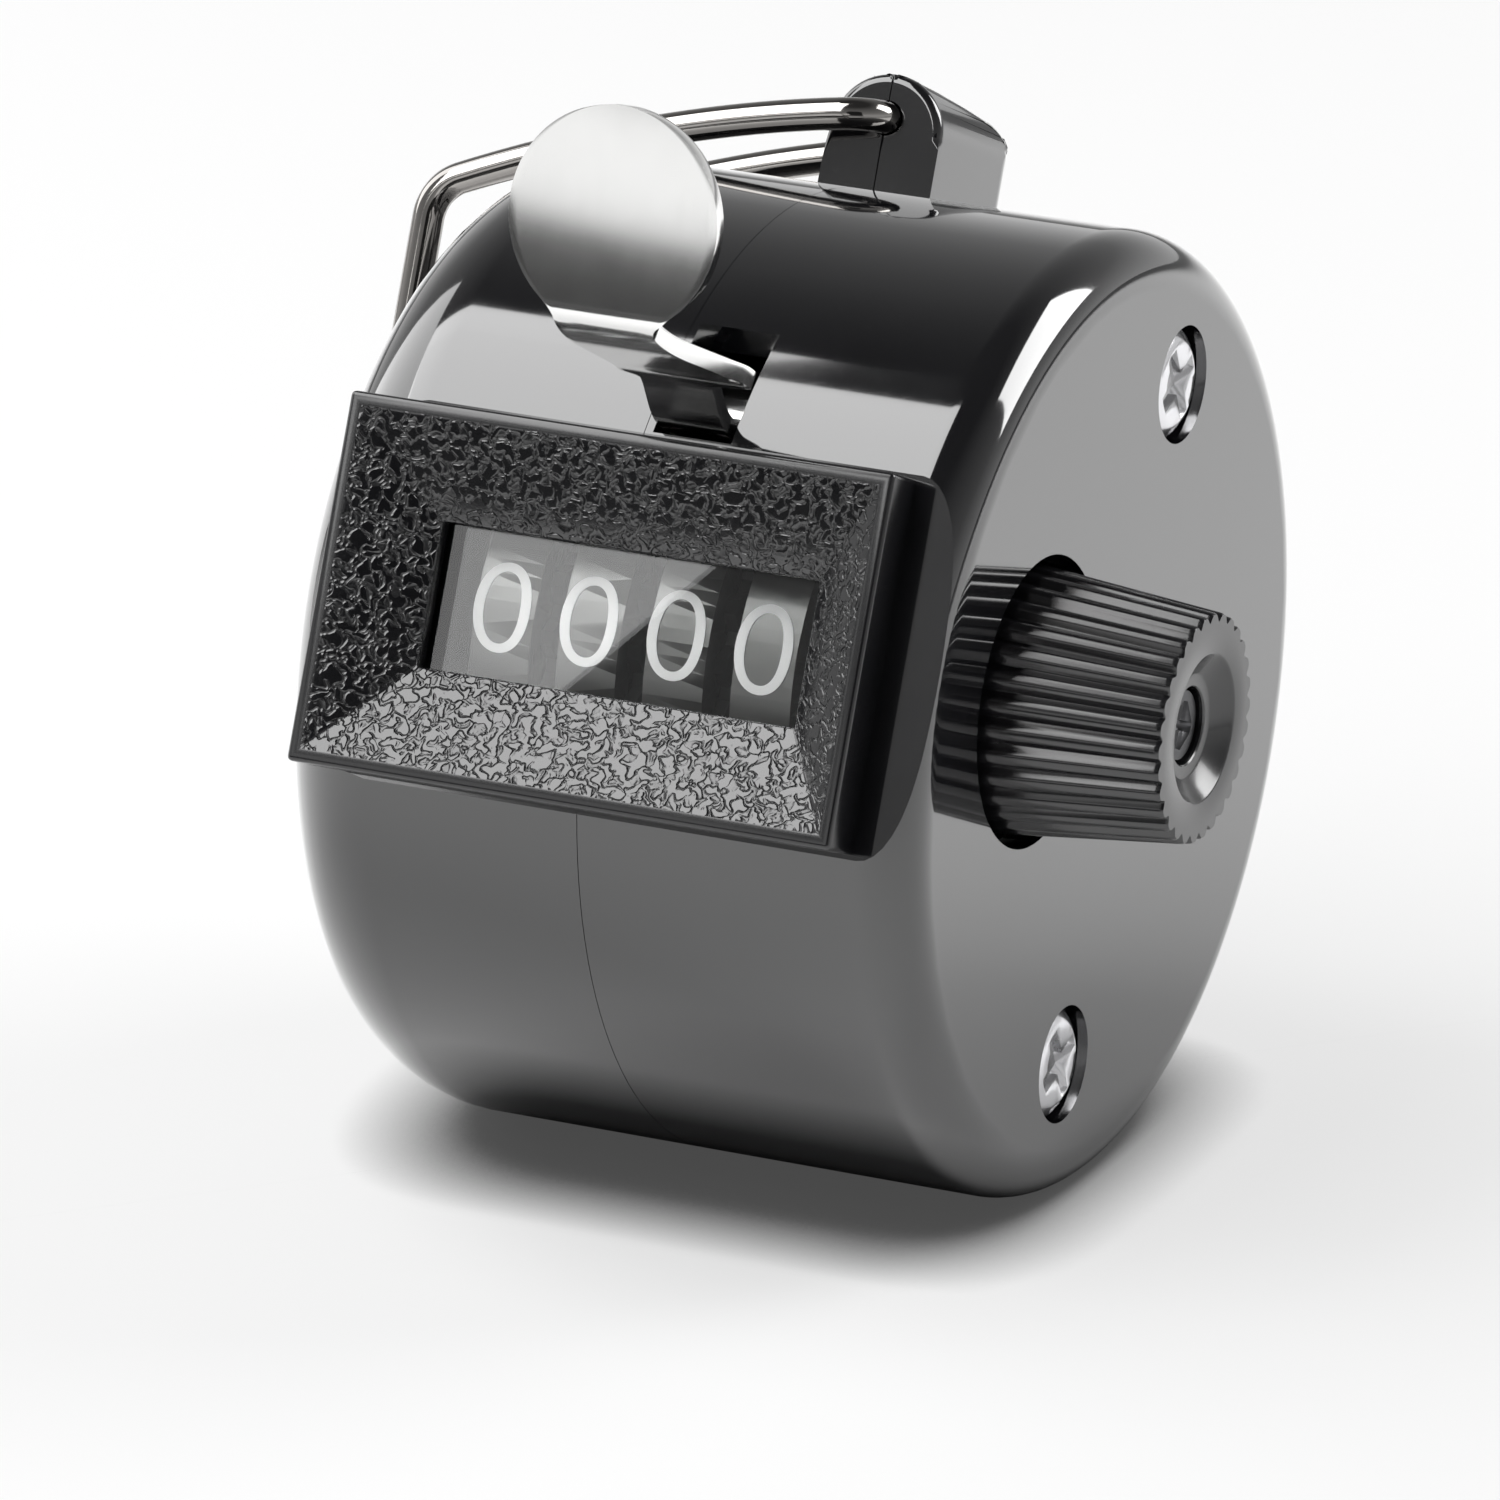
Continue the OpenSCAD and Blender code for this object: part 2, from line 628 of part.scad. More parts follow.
module main_shaft() {
    color([0.72, 0.72, 0.74]) stand() difference() {
        union() {
            rod(shaft_left_x, shaft_end_x, shaft_r, [wheel_y, 0]);
            rod(plate_left_x + part_gap, plate_left_x + part_gap + collar_w, hub_r, [wheel_y, 0]);
        }
        difference() {
            rod(groove_x, groove_x + clip_t, shaft_r + cut, [wheel_y, 0]);
            rod(groove_x - cut, groove_x + clip_t + cut, groove_r, [wheel_y, 0]);
        }
        rod(shaft_end_x - knob_screw_l, shaft_end_x + cut, knob_screw_r, [wheel_y, 0]);
    }
}

module shaft_clip() {
    color([0.6, 0.6, 0.62]) stand() difference() {
        rod(groove_x, groove_x + clip_t, shaft_r + clip_lap, [wheel_y, 0]);
        rod(groove_x - cut, groove_x + clip_t + cut, groove_r, [wheel_y, 0]);
        block(groove_x - cut, groove_x + clip_t + cut, wheel_y - shaft_r * 0.6, wheel_y + shaft_r * 0.6,
              -case_r, 0);
    }
}

// A number wheel: rim, web and hub, a gear on its right and a two-tooth segment on its left
module number_wheel(i) {
    x = wheel_x[i];
    h = wheel_w / 2;
    step = 360 / gear_teeth;
    bore_r = shaft_r + run_gap;
    profile = [[bore_r, -hub_w / 2], [hub_r, -hub_w / 2], [hub_r, -web_t / 2], [wheel_r - rim_t, -web_t / 2],
               [wheel_r - rim_t, -h], [wheel_r, -h], [wheel_r, h], [wheel_r - rim_t, h],
               [wheel_r - rim_t, web_t / 2], [hub_r, web_t / 2], [hub_r, hub_w / 2], [bore_r, hub_w / 2]];
    color([0.05, 0.05, 0.05]) stand() union() {
        translate([x, wheel_y, 0]) rotate([0, 90, 0]) rotate_extrude() polygon(profile);
        if (i > 0) difference() {
            sheet(x + web_t / 2, x + h + gear_w) translate([wheel_y, 0]) polygon([for (k = [0:gear_teeth - 1])
                for (t = [[0, gear_root_r], [0.25, gear_r], [0.5, gear_r], [0.75, gear_root_r]])
                    t[1] * [cos((k + t[0]) * step), sin((k + t[0]) * step)]]);
            rod(x, x + wheel_w, gear_root_r - 1, [wheel_y, 0]);
            rod(x, x + h, wheel_r - rim_t, [wheel_y, 0]);
        }
        if (i < 3) for (k = [0, 1])
            sheet(x - h - gear_w, x - h) translate([wheel_y, 0]) rotate(k * step)
                translate([wheel_r - rim_t, -0.4]) square([gear_r - wheel_r + rim_t, 0.8]);
    }
}

module units_wheel() number_wheel(0);
module tens_wheel() number_wheel(1);
module hundreds_wheel() number_wheel(2);
module thousands_wheel() number_wheel(3);

// A transfer pinion, in the gap to the left of wheel i
module transfer_pinion(i) {
    mid = wheel_x[i] - wheel_pitch / 2;
    step = 360 / pinion_teeth;
    color([0.78, 0.68, 0.42]) stand() difference() {
        sheet(mid - pinion_w / 2, mid + pinion_w / 2) translate([pinion_y, 0])
            polygon([for (k = [0:pinion_teeth - 1])
                for (t = [[0, pinion_root_r], [0.3, pinion_r], [0.5, pinion_r], [0.8, pinion_root_r]])
                    t[1] * [cos((k + t[0]) * step), sin((k + t[0]) * step)]]);
        rod(mid - wheel_w, mid + wheel_w, pinion_shaft_r + run_gap, [pinion_y, 0]);
    }
}

module tens_pinion() transfer_pinion(0);
module hundreds_pinion() transfer_pinion(1);
module thousands_pinion() transfer_pinion(2);

module pinion_shaft() {
    color([0.72, 0.72, 0.74]) stand()
        rod(plate_left_x - plate_t, plate_right_x + plate_t, pinion_shaft_r, [pinion_y, 0]);
}

module reset_knob() {
    slant = atan(knob_taper);
    color([0.03, 0.03, 0.035]) stand() translate([0, wheel_y, 0]) difference() {
        translate([knob_in_x, 0, 0]) rotate([0, 90, 0])
            cylinder(r1 = knob_in_r, r2 = knob_end_r, h = knob_end_x - knob_in_x);
        for (i = [0:knob_flutes - 1]) rotate([360 * i / knob_flutes, 0, 0])
            translate([knob_end_x, 0, knob_end_r]) rotate([0, slant - 90, 0])
                translate([0, 0, -cut]) cylinder(r = flute_r, h = knob_end_x - knob_in_x + 2 * cut, $fn = 16);
        rod(knob_in_x - cut, shaft_end_x, shaft_r, [0, 0]);
        rod(knob_in_x, knob_end_x, knob_screw_r + run_gap, [0, 0]);
        rod(web_x, knob_end_x, pocket_r, [0, 0]);
        translate([knob_end_x - sink_d, 0, 0]) rotate([0, 90, 0])
            cylinder(r1 = sink_foot_r, r2 = sink_r, h = sink_d);
    }
}

module knob_screw() {
    head = 0.9;
    screw_head_r = pocket_r - 0.2;
    color([0.25, 0.25, 0.26]) stand() difference() {
        union() {
            rod(shaft_end_x - knob_screw_l, web_x + head / 2, knob_screw_r, [wheel_y, 0]);
            rod(web_x, web_x + head, screw_head_r, [wheel_y, 0]);
        }
        for (a = [0, 90]) translate([web_x + head - 0.5, wheel_y, 0]) rotate([a, 0, 0])
            translate([0, -screw_head_r * 0.7, -0.25]) cube([cut, screw_head_r * 1.4, 0.5]);
    }
}

left_shell();
right_shell();
bezel();
window_lens();
case_screws();
finger_ring();
thumb_lever();
lever_pin();
lever_spring();
drive_pawl();
pawl_pin();
ratchet_wheel();
detent_spring();
frame_plate_left();
frame_plate_right();
frame_pillars();
main_shaft();
shaft_clip();
units_wheel();
tens_wheel();
hundreds_wheel();
thousands_wheel();
tens_pinion();
hundreds_pinion();
thousands_pinion();
pinion_shaft();
reset_knob();
knob_screw();
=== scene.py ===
"""A four-digit hand tally counter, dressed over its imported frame.

Each piece is shaped in millimetres in the drum's own frame (X along the drum to the knob, -Y to
the window, Z up, zero on the drum's axis), and STAND then sets it on the table in metres.
"""
import math
import bmesh
import bpy
from mathutils import Euler, Matrix, Vector


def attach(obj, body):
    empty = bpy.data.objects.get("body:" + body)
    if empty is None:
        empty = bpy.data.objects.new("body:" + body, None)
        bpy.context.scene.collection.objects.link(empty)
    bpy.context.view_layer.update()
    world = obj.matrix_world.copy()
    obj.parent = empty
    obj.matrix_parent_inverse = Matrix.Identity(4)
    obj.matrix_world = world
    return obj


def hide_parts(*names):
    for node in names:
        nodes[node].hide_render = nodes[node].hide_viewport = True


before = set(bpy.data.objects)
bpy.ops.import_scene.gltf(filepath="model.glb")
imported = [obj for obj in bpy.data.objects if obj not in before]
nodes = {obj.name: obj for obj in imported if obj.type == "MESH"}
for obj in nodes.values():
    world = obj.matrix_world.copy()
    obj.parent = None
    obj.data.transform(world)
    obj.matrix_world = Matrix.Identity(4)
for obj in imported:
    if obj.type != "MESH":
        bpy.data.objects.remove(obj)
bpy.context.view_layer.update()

# Sizes that the dressed pieces share with the frame
MM = 0.001
LEAN = math.radians(24)
CASE_R = 22.0
CASE_HALF_W = 16.0
RIGHT_RIM = 2.5
LEFT_RIM = 5.5
FOOT_W = 7.0
SEAT_H = 17.0
AXIS_H = math.sqrt(CASE_R ** 2 - (FOOT_W / 2) ** 2)
SEAT_Y = -math.sqrt(CASE_R ** 2 - (SEAT_H / 2) ** 2)
BEZEL_W, BEZEL_H, BEZEL_D = 26.4, 16.6, 2.5
BEZEL_RIM, FUNNEL_D = 0.6, 1.8
WINDOW_W, WINDOW_H, WINDOW_X = 18.3, 6.5, 0.65
WHEEL_Y = SEAT_Y + 11.29
WHEEL_R = 9.6
WHEEL_PITCH = 4.25
WIRE_R = 0.75
BOSS_L, BOSS_Z, BOSS_EDGE = 9.2, 25.4, 0.4
STAND = (Matrix.Translation((0, 0, AXIS_H * MM)) @ Matrix.Rotation(-LEAN, 4, "X")
         @ Matrix.Scale(MM, 4))
TO_DRUM = STAND.inverted()


# Node helpers
def add_node(tree, kind, **inputs):
    node = tree.nodes.new(kind)
    for name, value in inputs.items():
        node.inputs[name.replace("_", " ")].default_value = value
    return node


def new_material(name):
    material = bpy.data.materials.new(name)
    material.use_nodes = True
    tree = material.node_tree
    return material, tree, tree.nodes["Principled BSDF"]


def new_group(name, inputs, outputs):
    group = bpy.data.node_groups.new(name, "ShaderNodeTree")
    for title, value in inputs.items():
        kind = "NodeSocketVector" if title == "Vector" else "NodeSocketFloat"
        socket = group.interface.new_socket(title, in_out="INPUT", socket_type=kind)
        if kind == "NodeSocketFloat":
            socket.default_value = value
    for title, kind in outputs.items():
        group.interface.new_socket(title, in_out="OUTPUT", socket_type=kind)
    return group, group.nodes.new("NodeGroupInput"), group.nodes.new("NodeGroupOutput")


def place_group(tree, group, **values):
    node = tree.nodes.new("ShaderNodeGroup")
    node.node_tree = group
    for name, value in values.items():
        node.inputs[name.replace("_", " ")].default_value = value
    coords = tree.nodes.new("ShaderNodeTexCoord")
    tree.links.new(coords.outputs["Object"], node.inputs["Vector"])
    return node


def math_node(tree, operation, first, second):
    node = tree.nodes.new("ShaderNodeMath")
    node.operation = operation
    for slot, value in zip(node.inputs, (first, second)):
        if isinstance(value, (int, float)):
            slot.default_value = value
        else:
            tree.links.new(value, slot)
    return node.outputs[0]


def map_range(tree, value, low, high, out_low, out_high):
    node = tree.nodes.new("ShaderNodeMapRange")
    tree.links.new(value, node.inputs["Value"])
    for name, number in (("From Min", low), ("From Max", high), ("To Min", out_low), ("To Max", out_high)):
        if isinstance(number, (int, float)):
            node.inputs[name].default_value = number
        else:
            tree.links.new(number, node.inputs[name])
    return node.outputs["Result"]


def noise(tree, vector, scale, detail=2.0, rough=0.5):
    node = add_node(tree, "ShaderNodeTexNoise", Scale=scale, Detail=detail, Roughness=rough)
    tree.links.new(vector, node.inputs["Vector"])
    return node.outputs["Fac"]


def mix_colour(tree, factor, first, second):
    node = tree.nodes.new("ShaderNodeMix")
    node.data_type = "RGBA"
    tree.links.new(factor, node.inputs["Factor"])
    for socket, value in ((node.inputs[6], first), (node.inputs[7], second)):
        if isinstance(value, tuple):
            socket.default_value = (*value, 1)
        else:
            tree.links.new(value, socket)
    return node.outputs[2]


# Handling marks: broad smudges, fine scuffs and a soft surface wave
def make_handling_group():
    group, given, out = new_group(
        "handling_marks", {"Vector": 0, "Smudge": 0.1, "Scuff": 0.05, "Base Roughness": 0.1},
        {"Roughness": "NodeSocketFloat", "Wave": "NodeSocketFloat", "Shade": "NodeSocketFloat"})
    vector = given.outputs["Vector"]
    broad = map_range(group, noise(group, vector, 140, 3), 0.35, 0.75, 0, 1)
    fine = map_range(group, noise(group, vector, 2600, 4, 0.65), 0.55, 0.8, 0, 1)
    smudge = math_node(group, "MULTIPLY", broad, given.outputs["Smudge"])
    scuff = math_node(group, "MULTIPLY", fine, given.outputs["Scuff"])
    marks = math_node(group, "ADD", smudge, scuff)
    rough = math_node(group, "ADD", marks, given.outputs["Base Roughness"])
    group.links.new(rough, out.inputs["Roughness"])
    group.links.new(noise(group, vector, 90, 1), out.inputs["Wave"])
    group.links.new(broad, out.inputs["Shade"])
    return group


# Moulded leather grain: low plateaus between winding creases, with a mask for painted shade in the creases
GRAIN_SCALE, CREASE_WIDTH = 1800.0, 0.09
CREASE_CORE = 0.05
PORE_SCALE = 5200


def make_grain_group():
    group, given, out = new_group(
        "leather_grain", {"Vector": 0, "Scale": GRAIN_SCALE, "Crease Width": CREASE_WIDTH},
        {"Height": "NodeSocketFloat", "Crease": "NodeSocketFloat"})
    wander = group.nodes.new("ShaderNodeTexNoise")
    wander.inputs["Detail"].default_value = 1.2
    wander.inputs["Distortion"].default_value = 0.6
    group.links.new(given.outputs["Vector"], wander.inputs["Vector"])
    group.links.new(given.outputs["Scale"], wander.inputs["Scale"])
    level = math_node(group, "SUBTRACT", wander.outputs["Fac"], 0.5)
    apart = math_node(group, "ABSOLUTE", level, 0)
    plateau = map_range(group, apart, 0, given.outputs["Crease Width"], 0, 1)
    pores = map_range(group, noise(group, given.outputs["Vector"], PORE_SCALE, 2), 0.3, 0.7, 0.96, 1)
    group.links.new(math_node(group, "MULTIPLY", plateau, pores), out.inputs["Height"])
    # Crease mask, 1 in the crease cores: it paints shade into the creases
    group.links.new(map_range(group, apart, 0, CREASE_CORE, 1, 0), out.inputs["Crease"])
    return group


# Fine drawn lines and dull tarnish clouds in bright metal
def make_metal_group():
    group, given, out = new_group(
        "metal_finish", {"Vector": 0, "Base Roughness": 0.2, "Lines": 0.05, "Tarnish": 0.1},
        {"Roughness": "NodeSocketFloat", "Shade": "NodeSocketFloat", "Height": "NodeSocketFloat"})
    stretch = add_node(group, "ShaderNodeMapping")
    stretch.inputs["Scale"].default_value = (9000, 400, 400)
    group.links.new(given.outputs["Vector"], stretch.inputs["Vector"])
    lines = noise(group, stretch.outputs["Vector"], 1, 3, 0.6)
    cloud = map_range(group, noise(group, given.outputs["Vector"], 420, 4, 0.6), 0.4, 0.75, 0, 1)
    streak = math_node(group, "MULTIPLY", lines, given.outputs["Lines"])
    dull = math_node(group, "MULTIPLY", cloud, given.outputs["Tarnish"])
    rough = math_node(group, "ADD", math_node(group, "ADD", streak, dull), given.outputs["Base Roughness"])
    group.links.new(rough, out.inputs["Roughness"])
    group.links.new(dull, out.inputs["Shade"])
    group.links.new(lines, out.inputs["Height"])
    return group


HANDLING = make_handling_group()
GRAIN = make_grain_group()
METAL = make_metal_group()


def bump(tree, shader, height, strength, distance):
    node = add_node(tree, "ShaderNodeBump", Strength=strength, Distance=distance)
    tree.links.new(height, node.inputs["Height"])
    tree.links.new(node.outputs["Normal"], shader.inputs["Normal"])


def gloss_plastic(name, colour, smudged, rough, coat):
    material, tree, shader = new_material(name)
    marks = place_group(tree, HANDLING, Smudge=0.03, Scuff=0.03, Base_Roughness=rough)
    tint = mix_colour(tree, marks.outputs["Shade"], colour, smudged)
    tree.links.new(tint, shader.inputs["Base Color"])
    tree.links.new(marks.outputs["Roughness"], shader.inputs["Roughness"])
    shader.inputs["IOR"].default_value = 1.72
    shader.inputs["Coat Weight"].default_value = coat
    shader.inputs["Coat Roughness"].default_value = 0.04
    bump(tree, shader, marks.outputs["Wave"], 0.03, 0.0002)
    return material


def grained_plastic():
    material, tree, shader = new_material("bezel_black_grain")
    grain = place_group(tree, GRAIN, Scale=GRAIN_SCALE, Crease_Width=CREASE_WIDTH)
    # Painted shade: the base colour is darker in the crease cores
    tint = mix_colour(tree, grain.outputs["Crease"], (0.004, 0.004, 0.005), (0.002, 0.002, 0.003))
    tree.links.new(tint, shader.inputs["Base Color"])
    rough = map_range(tree, grain.outputs["Height"], 0, 1, 0.3, 0.15)
    tree.links.new(rough, shader.inputs["Roughness"])
    shader.inputs["IOR"].default_value = 1.85
    bump(tree, shader, grain.outputs["Height"], 0.8, 0.00005)
    return material


def bright_metal(name, colour, dulled, rough, lines, tarnish):
    material, tree, shader = new_material(name)
    finish = place_group(tree, METAL, Base_Roughness=rough, Lines=lines, Tarnish=tarnish)
    tint = mix_colour(tree, finish.outputs["Shade"], colour, dulled)
    tree.links.new(tint, shader.inputs["Base Color"])
    tree.links.new(finish.outputs["Roughness"], shader.inputs["Roughness"])
    shader.inputs["Metallic"].default_value = 1
    bump(tree, shader, finish.outputs["Height"], 0.02, 0.00002)
    return material


def clear_pane():
    material, tree, shader = new_material("lens_clear_pane")
    shader.inputs["Base Color"].default_value = (0.97, 0.98, 0.98, 1)
    shader.inputs["Transmission Weight"].default_value = 1
    shader.inputs["IOR"].default_value = 1.49
    shader.inputs["Roughness"].default_value = 0
    path = tree.nodes.new("ShaderNodeLightPath")
    through = tree.nodes.new("ShaderNodeBsdfTransparent")
    mix = tree.nodes.new("ShaderNodeMixShader")
    tree.links.new(path.outputs["Is Shadow Ray"], mix.inputs[0])
    tree.links.new(shader.outputs[0], mix.inputs[1])
    tree.links.new(through.outputs[0], mix.inputs[2])
    tree.links.new(mix.outputs[0], tree.nodes["Material Output"].inputs["Surface"])
    return material


CASE_BLACK = gloss_plastic("case_black_gloss", (0.005, 0.005, 0.006), (0.007, 0.007, 0.008), 0.06, 1.0)
KNOB_BLACK = gloss_plastic("knob_black_gloss", (0.005, 0.005, 0.006), (0.008, 0.008, 0.009), 0.2, 0.2)
BEZEL_GRAIN = grained_plastic()
BEZEL_SMOOTH = gloss_plastic("bezel_black_edge", (0.005, 0.005, 0.006), (0.007, 0.007, 0.008), 0.2, 0.0)
WHEEL_SATIN = bright_metal("wheel_satin_grey", (0.2, 0.2, 0.195), (0.17, 0.17, 0.165), 0.4, 0.04, 0.06)
WHEEL_BLACK = gloss_plastic("wheel_black_matt", (0.006, 0.006, 0.006), (0.008, 0.008, 0.008), 0.5, 0.0)
DIGIT_WHITE = gloss_plastic("digit_white_paint", (0.95, 0.95, 0.94), (0.92, 0.92, 0.91), 0.4, 0.0)
LENS_CLEAR = clear_pane()
LEVER_STEEL = bright_metal("lever_satin_steel", (0.9, 0.9, 0.89), (0.82, 0.82, 0.81), 0.12, 0.03, 0.02)
RING_CHROME = bright_metal("ring_dark_nickel", (0.36, 0.345, 0.33), (0.28, 0.265, 0.25), 0.05, 0.02, 0.08)
SCREW_STEEL = bright_metal("screw_zinc", (0.8, 0.8, 0.82), (0.62, 0.62, 0.64), 0.16, 0.05, 0.12)
SCREW_DARK = bright_metal("knob_screw_blackened", (0.12, 0.12, 0.125), (0.08, 0.08, 0.08), 0.3, 0.05, 0.1)
FRAME_STEEL = bright_metal("frame_plain_steel", (0.55, 0.55, 0.54), (0.42, 0.41, 0.4), 0.32, 0.08, 0.1)
GEAR_BRASS = bright_metal("gear_brass", (0.72, 0.56, 0.28), (0.52, 0.4, 0.22), 0.28, 0.06, 0.12)


# Mesh helpers
def keep_piece(mesh, name, body, materials, replaced=()):
    piece = bpy.data.objects.new(name, mesh)
    bpy.context.scene.collection.objects.link(piece)
    for material in materials:
        mesh.materials.append(material)
    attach(piece, body)
    if replaced:
        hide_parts(*replaced)
    return piece


def mesh_from(bm, name, smooth_deg=35, upright=True):
    if upright:
        bm.transform(STAND)
    mesh = bpy.data.meshes.new(name)
    bm.to_mesh(mesh)
    bm.free()
    mesh.polygons.foreach_set("use_smooth", [True] * len(mesh.polygons))
    mesh.set_sharp_from_angle(angle=math.radians(smooth_deg))
    return mesh


def round_edges(bm, edges, width, segments):
    bmesh.ops.bevel(bm, geom=edges, offset=width, segments=segments, profile=0.5, affect="EDGES",
                    material=-1)


def merged_node(node):
    bm = bmesh.new()
    bm.from_mesh(nodes[node].data)
    bmesh.ops.remove_doubles(bm, verts=bm.verts, dist=2e-6)
    bmesh.ops.dissolve_degenerate(bm, edges=bm.edges, dist=1e-6)
    return bm


# Case shells: how near a point lies to a surface that it counts as on, and the edges' sizes
NEAR, FLUSH = 0.03, 0.01
SEAM_NEAR = 0.005
SEAM_EDGE, SEAM_SKIN = 0.06, 0.2
BOSS_SKIN, BOSS_SEAM = 0.15, 0.15
BOSS_HOLE_R = WIRE_R + 0.3


def drum_normal(p, rim, sign):
    """The drum's own direction at a point on its outside, or None where the point is elsewhere."""
    x, r = p.x * sign, math.hypot(p.y, p.z)
    flat_x, flat_r = CASE_HALF_W - rim, CASE_R - rim
    if x <= flat_x + NEAR and abs(r - CASE_R) < NEAR:
        return Vector((0, p.y / r, p.z / r))
    if r <= flat_r + NEAR and abs(x - CASE_HALF_W) < NEAR:
        return Vector((sign, 0, 0))
    dx, dr = x - flat_x, r - flat_r
    if dx > 0 and dr > 0 and abs(math.hypot(dx, dr) - rim) < NEAR:
        return Vector((sign * dx, dr * p.y / r, dr * p.z / r)).normalized()
    return None


def weighted_normals(mesh, limit):
    """Corner directions that lean to the larger faces, so flat sides stay flat up to their edges."""
    around = [[] for _ in mesh.vertices]
    for face in mesh.polygons:
        for i in face.vertices:
            around[i].append((face.normal.copy(), face.area))
    normals = [Vector((0, 0, 1))] * len(mesh.loops)
    for face in mesh.polygons:
        for i, loop in zip(face.vertices, face.loop_indices):
            total = Vector()
            for normal, area in around[i]:
                if normal.angle(face.normal, 0) < limit:
                    total += normal * area
            normals[loop] = total.normalized() if total.length > 0 else face.normal.copy()
    return normals


def make_shell(node, rim, sign):
    """A shell from its solid, with a fine seam chamfer and the drum's true directions for its gloss."""
    bm = merged_node(node)
    bm.transform(TO_DRUM)
    bmesh.ops.dissolve_limit(bm, angle_limit=math.radians(0.5), verts=bm.verts, edges=bm.edges)
    on_seam = [e for e in bm.edges if all(abs(v.co.x) < SEAM_NEAR for v in e.verts)]
    seam = [e for e in on_seam if e.is_manifold and e.calc_face_angle(0) > 1
            and all(math.hypot(v.co.y, v.co.z) > CASE_R - SEAM_SKIN for v in e.verts)]
    round_edges(bm, seam, SEAM_EDGE, 2)
    boss = [e for e in bm.edges if e.is_manifold and e.calc_face_angle(0) > 0.45
            and all(math.hypot(v.co.y, v.co.z) > CASE_R + BOSS_SKIN for v in e.verts)
            and any(abs(v.co.x) > BOSS_SEAM for v in e.verts)
            and all(math.hypot(v.co.x, v.co.z - BOSS_Z) > BOSS_HOLE_R for v in e.verts)]
    round_edges(bm, boss, BOSS_EDGE, 4)
    bmesh.ops.triangulate(bm, faces=[f for f in bm.faces if len(f.verts) > 4])
    mesh = mesh_from(bm, node + "_moulded", 32)
    turn = STAND.to_3x3().normalized()
    normals = weighted_normals(mesh, math.radians(40))
    places = [TO_DRUM @ v.co for v in mesh.vertices]
    for face in mesh.polygons:
        around = [places[i] for i in face.vertices]
        on_seat = all(abs(p.y - SEAT_Y) < NEAR for p in around)
        on_boss_front = all(abs(p.y) < FLUSH and p.z > CASE_R for p in around)
        if on_seat or on_boss_front:
            for loop in face.loop_indices:
                normals[loop] = face.normal.copy()
            continue
        found = [drum_normal(places[i], rim, sign) for i in face.vertices]
        middle = drum_normal(TO_DRUM @ face.center, rim, sign)
        facing = turn.inverted() @ face.normal
        if None in found:
            continue
        if middle is None and all(n.dot(facing) < 0.9 for n in found):
            continue
        if any(n.dot(facing) < 0.7 for n in found):
            continue
        for loop, normal in zip(face.loop_indices, found):
            normals[loop] = turn @ normal
    mesh.normals_split_custom_set(normals)
    return keep_piece(mesh, node + "_moulded", "case", [CASE_BLACK], [node])


make_shell("right_shell", RIGHT_RIM, 1)
make_shell("left_shell", LEFT_RIM, -1)


# Bezel: a frame with a grained funnel round the window
BEZEL_FINE_EDGE, BEZEL_OUTER_EDGE = 0.1, 0.22


def on_bezel_side(edge):
    return all(abs(v.co.x) > BEZEL_W / 2 - FLUSH or abs(v.co.z) > BEZEL_H / 2 - FLUSH for v in edge.verts)


def make_bezel():
    bm = bmesh.new()
    bmesh.ops.create_cube(bm, size=1)
    bmesh.ops.scale(bm, verts=bm.verts, vec=(BEZEL_W, BEZEL_D, BEZEL_H))
    bmesh.ops.translate(bm, verts=bm.verts, vec=(0, SEAT_Y - BEZEL_D / 2, 0))
    front = min(bm.faces, key=lambda f: f.calc_center_median().y)
    back = max(bm.faces, key=lambda f: f.calc_center_median().y)
    bmesh.ops.inset_region(bm, faces=[front], thickness=BEZEL_RIM, use_even_offset=True)
    for depth, name in ((FUNNEL_D, "funnel"), (BEZEL_D - FUNNEL_D, "throat")):
        covered = front
        grown = bmesh.ops.extrude_face_region(bm, geom=[covered])
        front = [g for g in grown["geom"] if isinstance(g, bmesh.types.BMFace)][0]
        corners = list(front.verts)
        bmesh.ops.translate(bm, verts=corners, vec=(0, depth, 0))
        if name == "funnel":
            for v in corners:
                v.co.x = WINDOW_X + math.copysign(WINDOW_W / 2, v.co.x)
                v.co.z = math.copysign(WINDOW_H / 2, v.co.z)
        if covered.is_valid:
            bmesh.ops.delete(bm, geom=[covered], context="FACES_ONLY")
    inner_edges = list(front.edges)
    outer_edges = list(back.edges)
    bmesh.ops.delete(bm, geom=[front, back], context="FACES_ONLY")
    bmesh.ops.bridge_loops(bm, edges=inner_edges + outer_edges)
    bmesh.ops.recalc_face_normals(bm, faces=bm.faces)
    rim_y = SEAT_Y - BEZEL_D
    for face in bm.faces:
        on_rim = face.normal.y < -0.95 and face.calc_center_median().y < rim_y + 0.1
        face.material_index = 1 if on_rim or face.normal.y > -0.3 else 0
    fine = [e for e in bm.edges if e.calc_face_angle(0) > 0.35 and not on_bezel_side(e)
            and min(v.co.y for v in e.verts) < SEAT_Y - 0.1]
    round_edges(bm, fine, BEZEL_FINE_EDGE, 2)
    edge = [e for e in bm.edges if e.calc_face_angle(0) > 0.9 and on_bezel_side(e)
            and any(v.co.y < rim_y + FLUSH for v in e.verts)]
    round_edges(bm, edge, BEZEL_OUTER_EDGE, 3)
    mesh = mesh_from(bm, "bezel_grained", 30)
    finishes = [BEZEL_GRAIN, BEZEL_SMOOTH]
    return keep_piece(mesh, "bezel_grained", "case", finishes, ["bezel"])


make_bezel()


# Number wheels and their digits
WHEELS = ("units", "tens", "hundreds", "thousands")
DIGIT_H = 4.05
DIGIT_W = 2.75
DIGIT_LEFT = 0.15
DIGIT_RAISE = (0.01, 0.04)
DIGIT_BANDS = 10
DIGIT_THIN = -0.012
DIGIT_STEP = math.radians(36)
BAND_DEPTH = 0.1


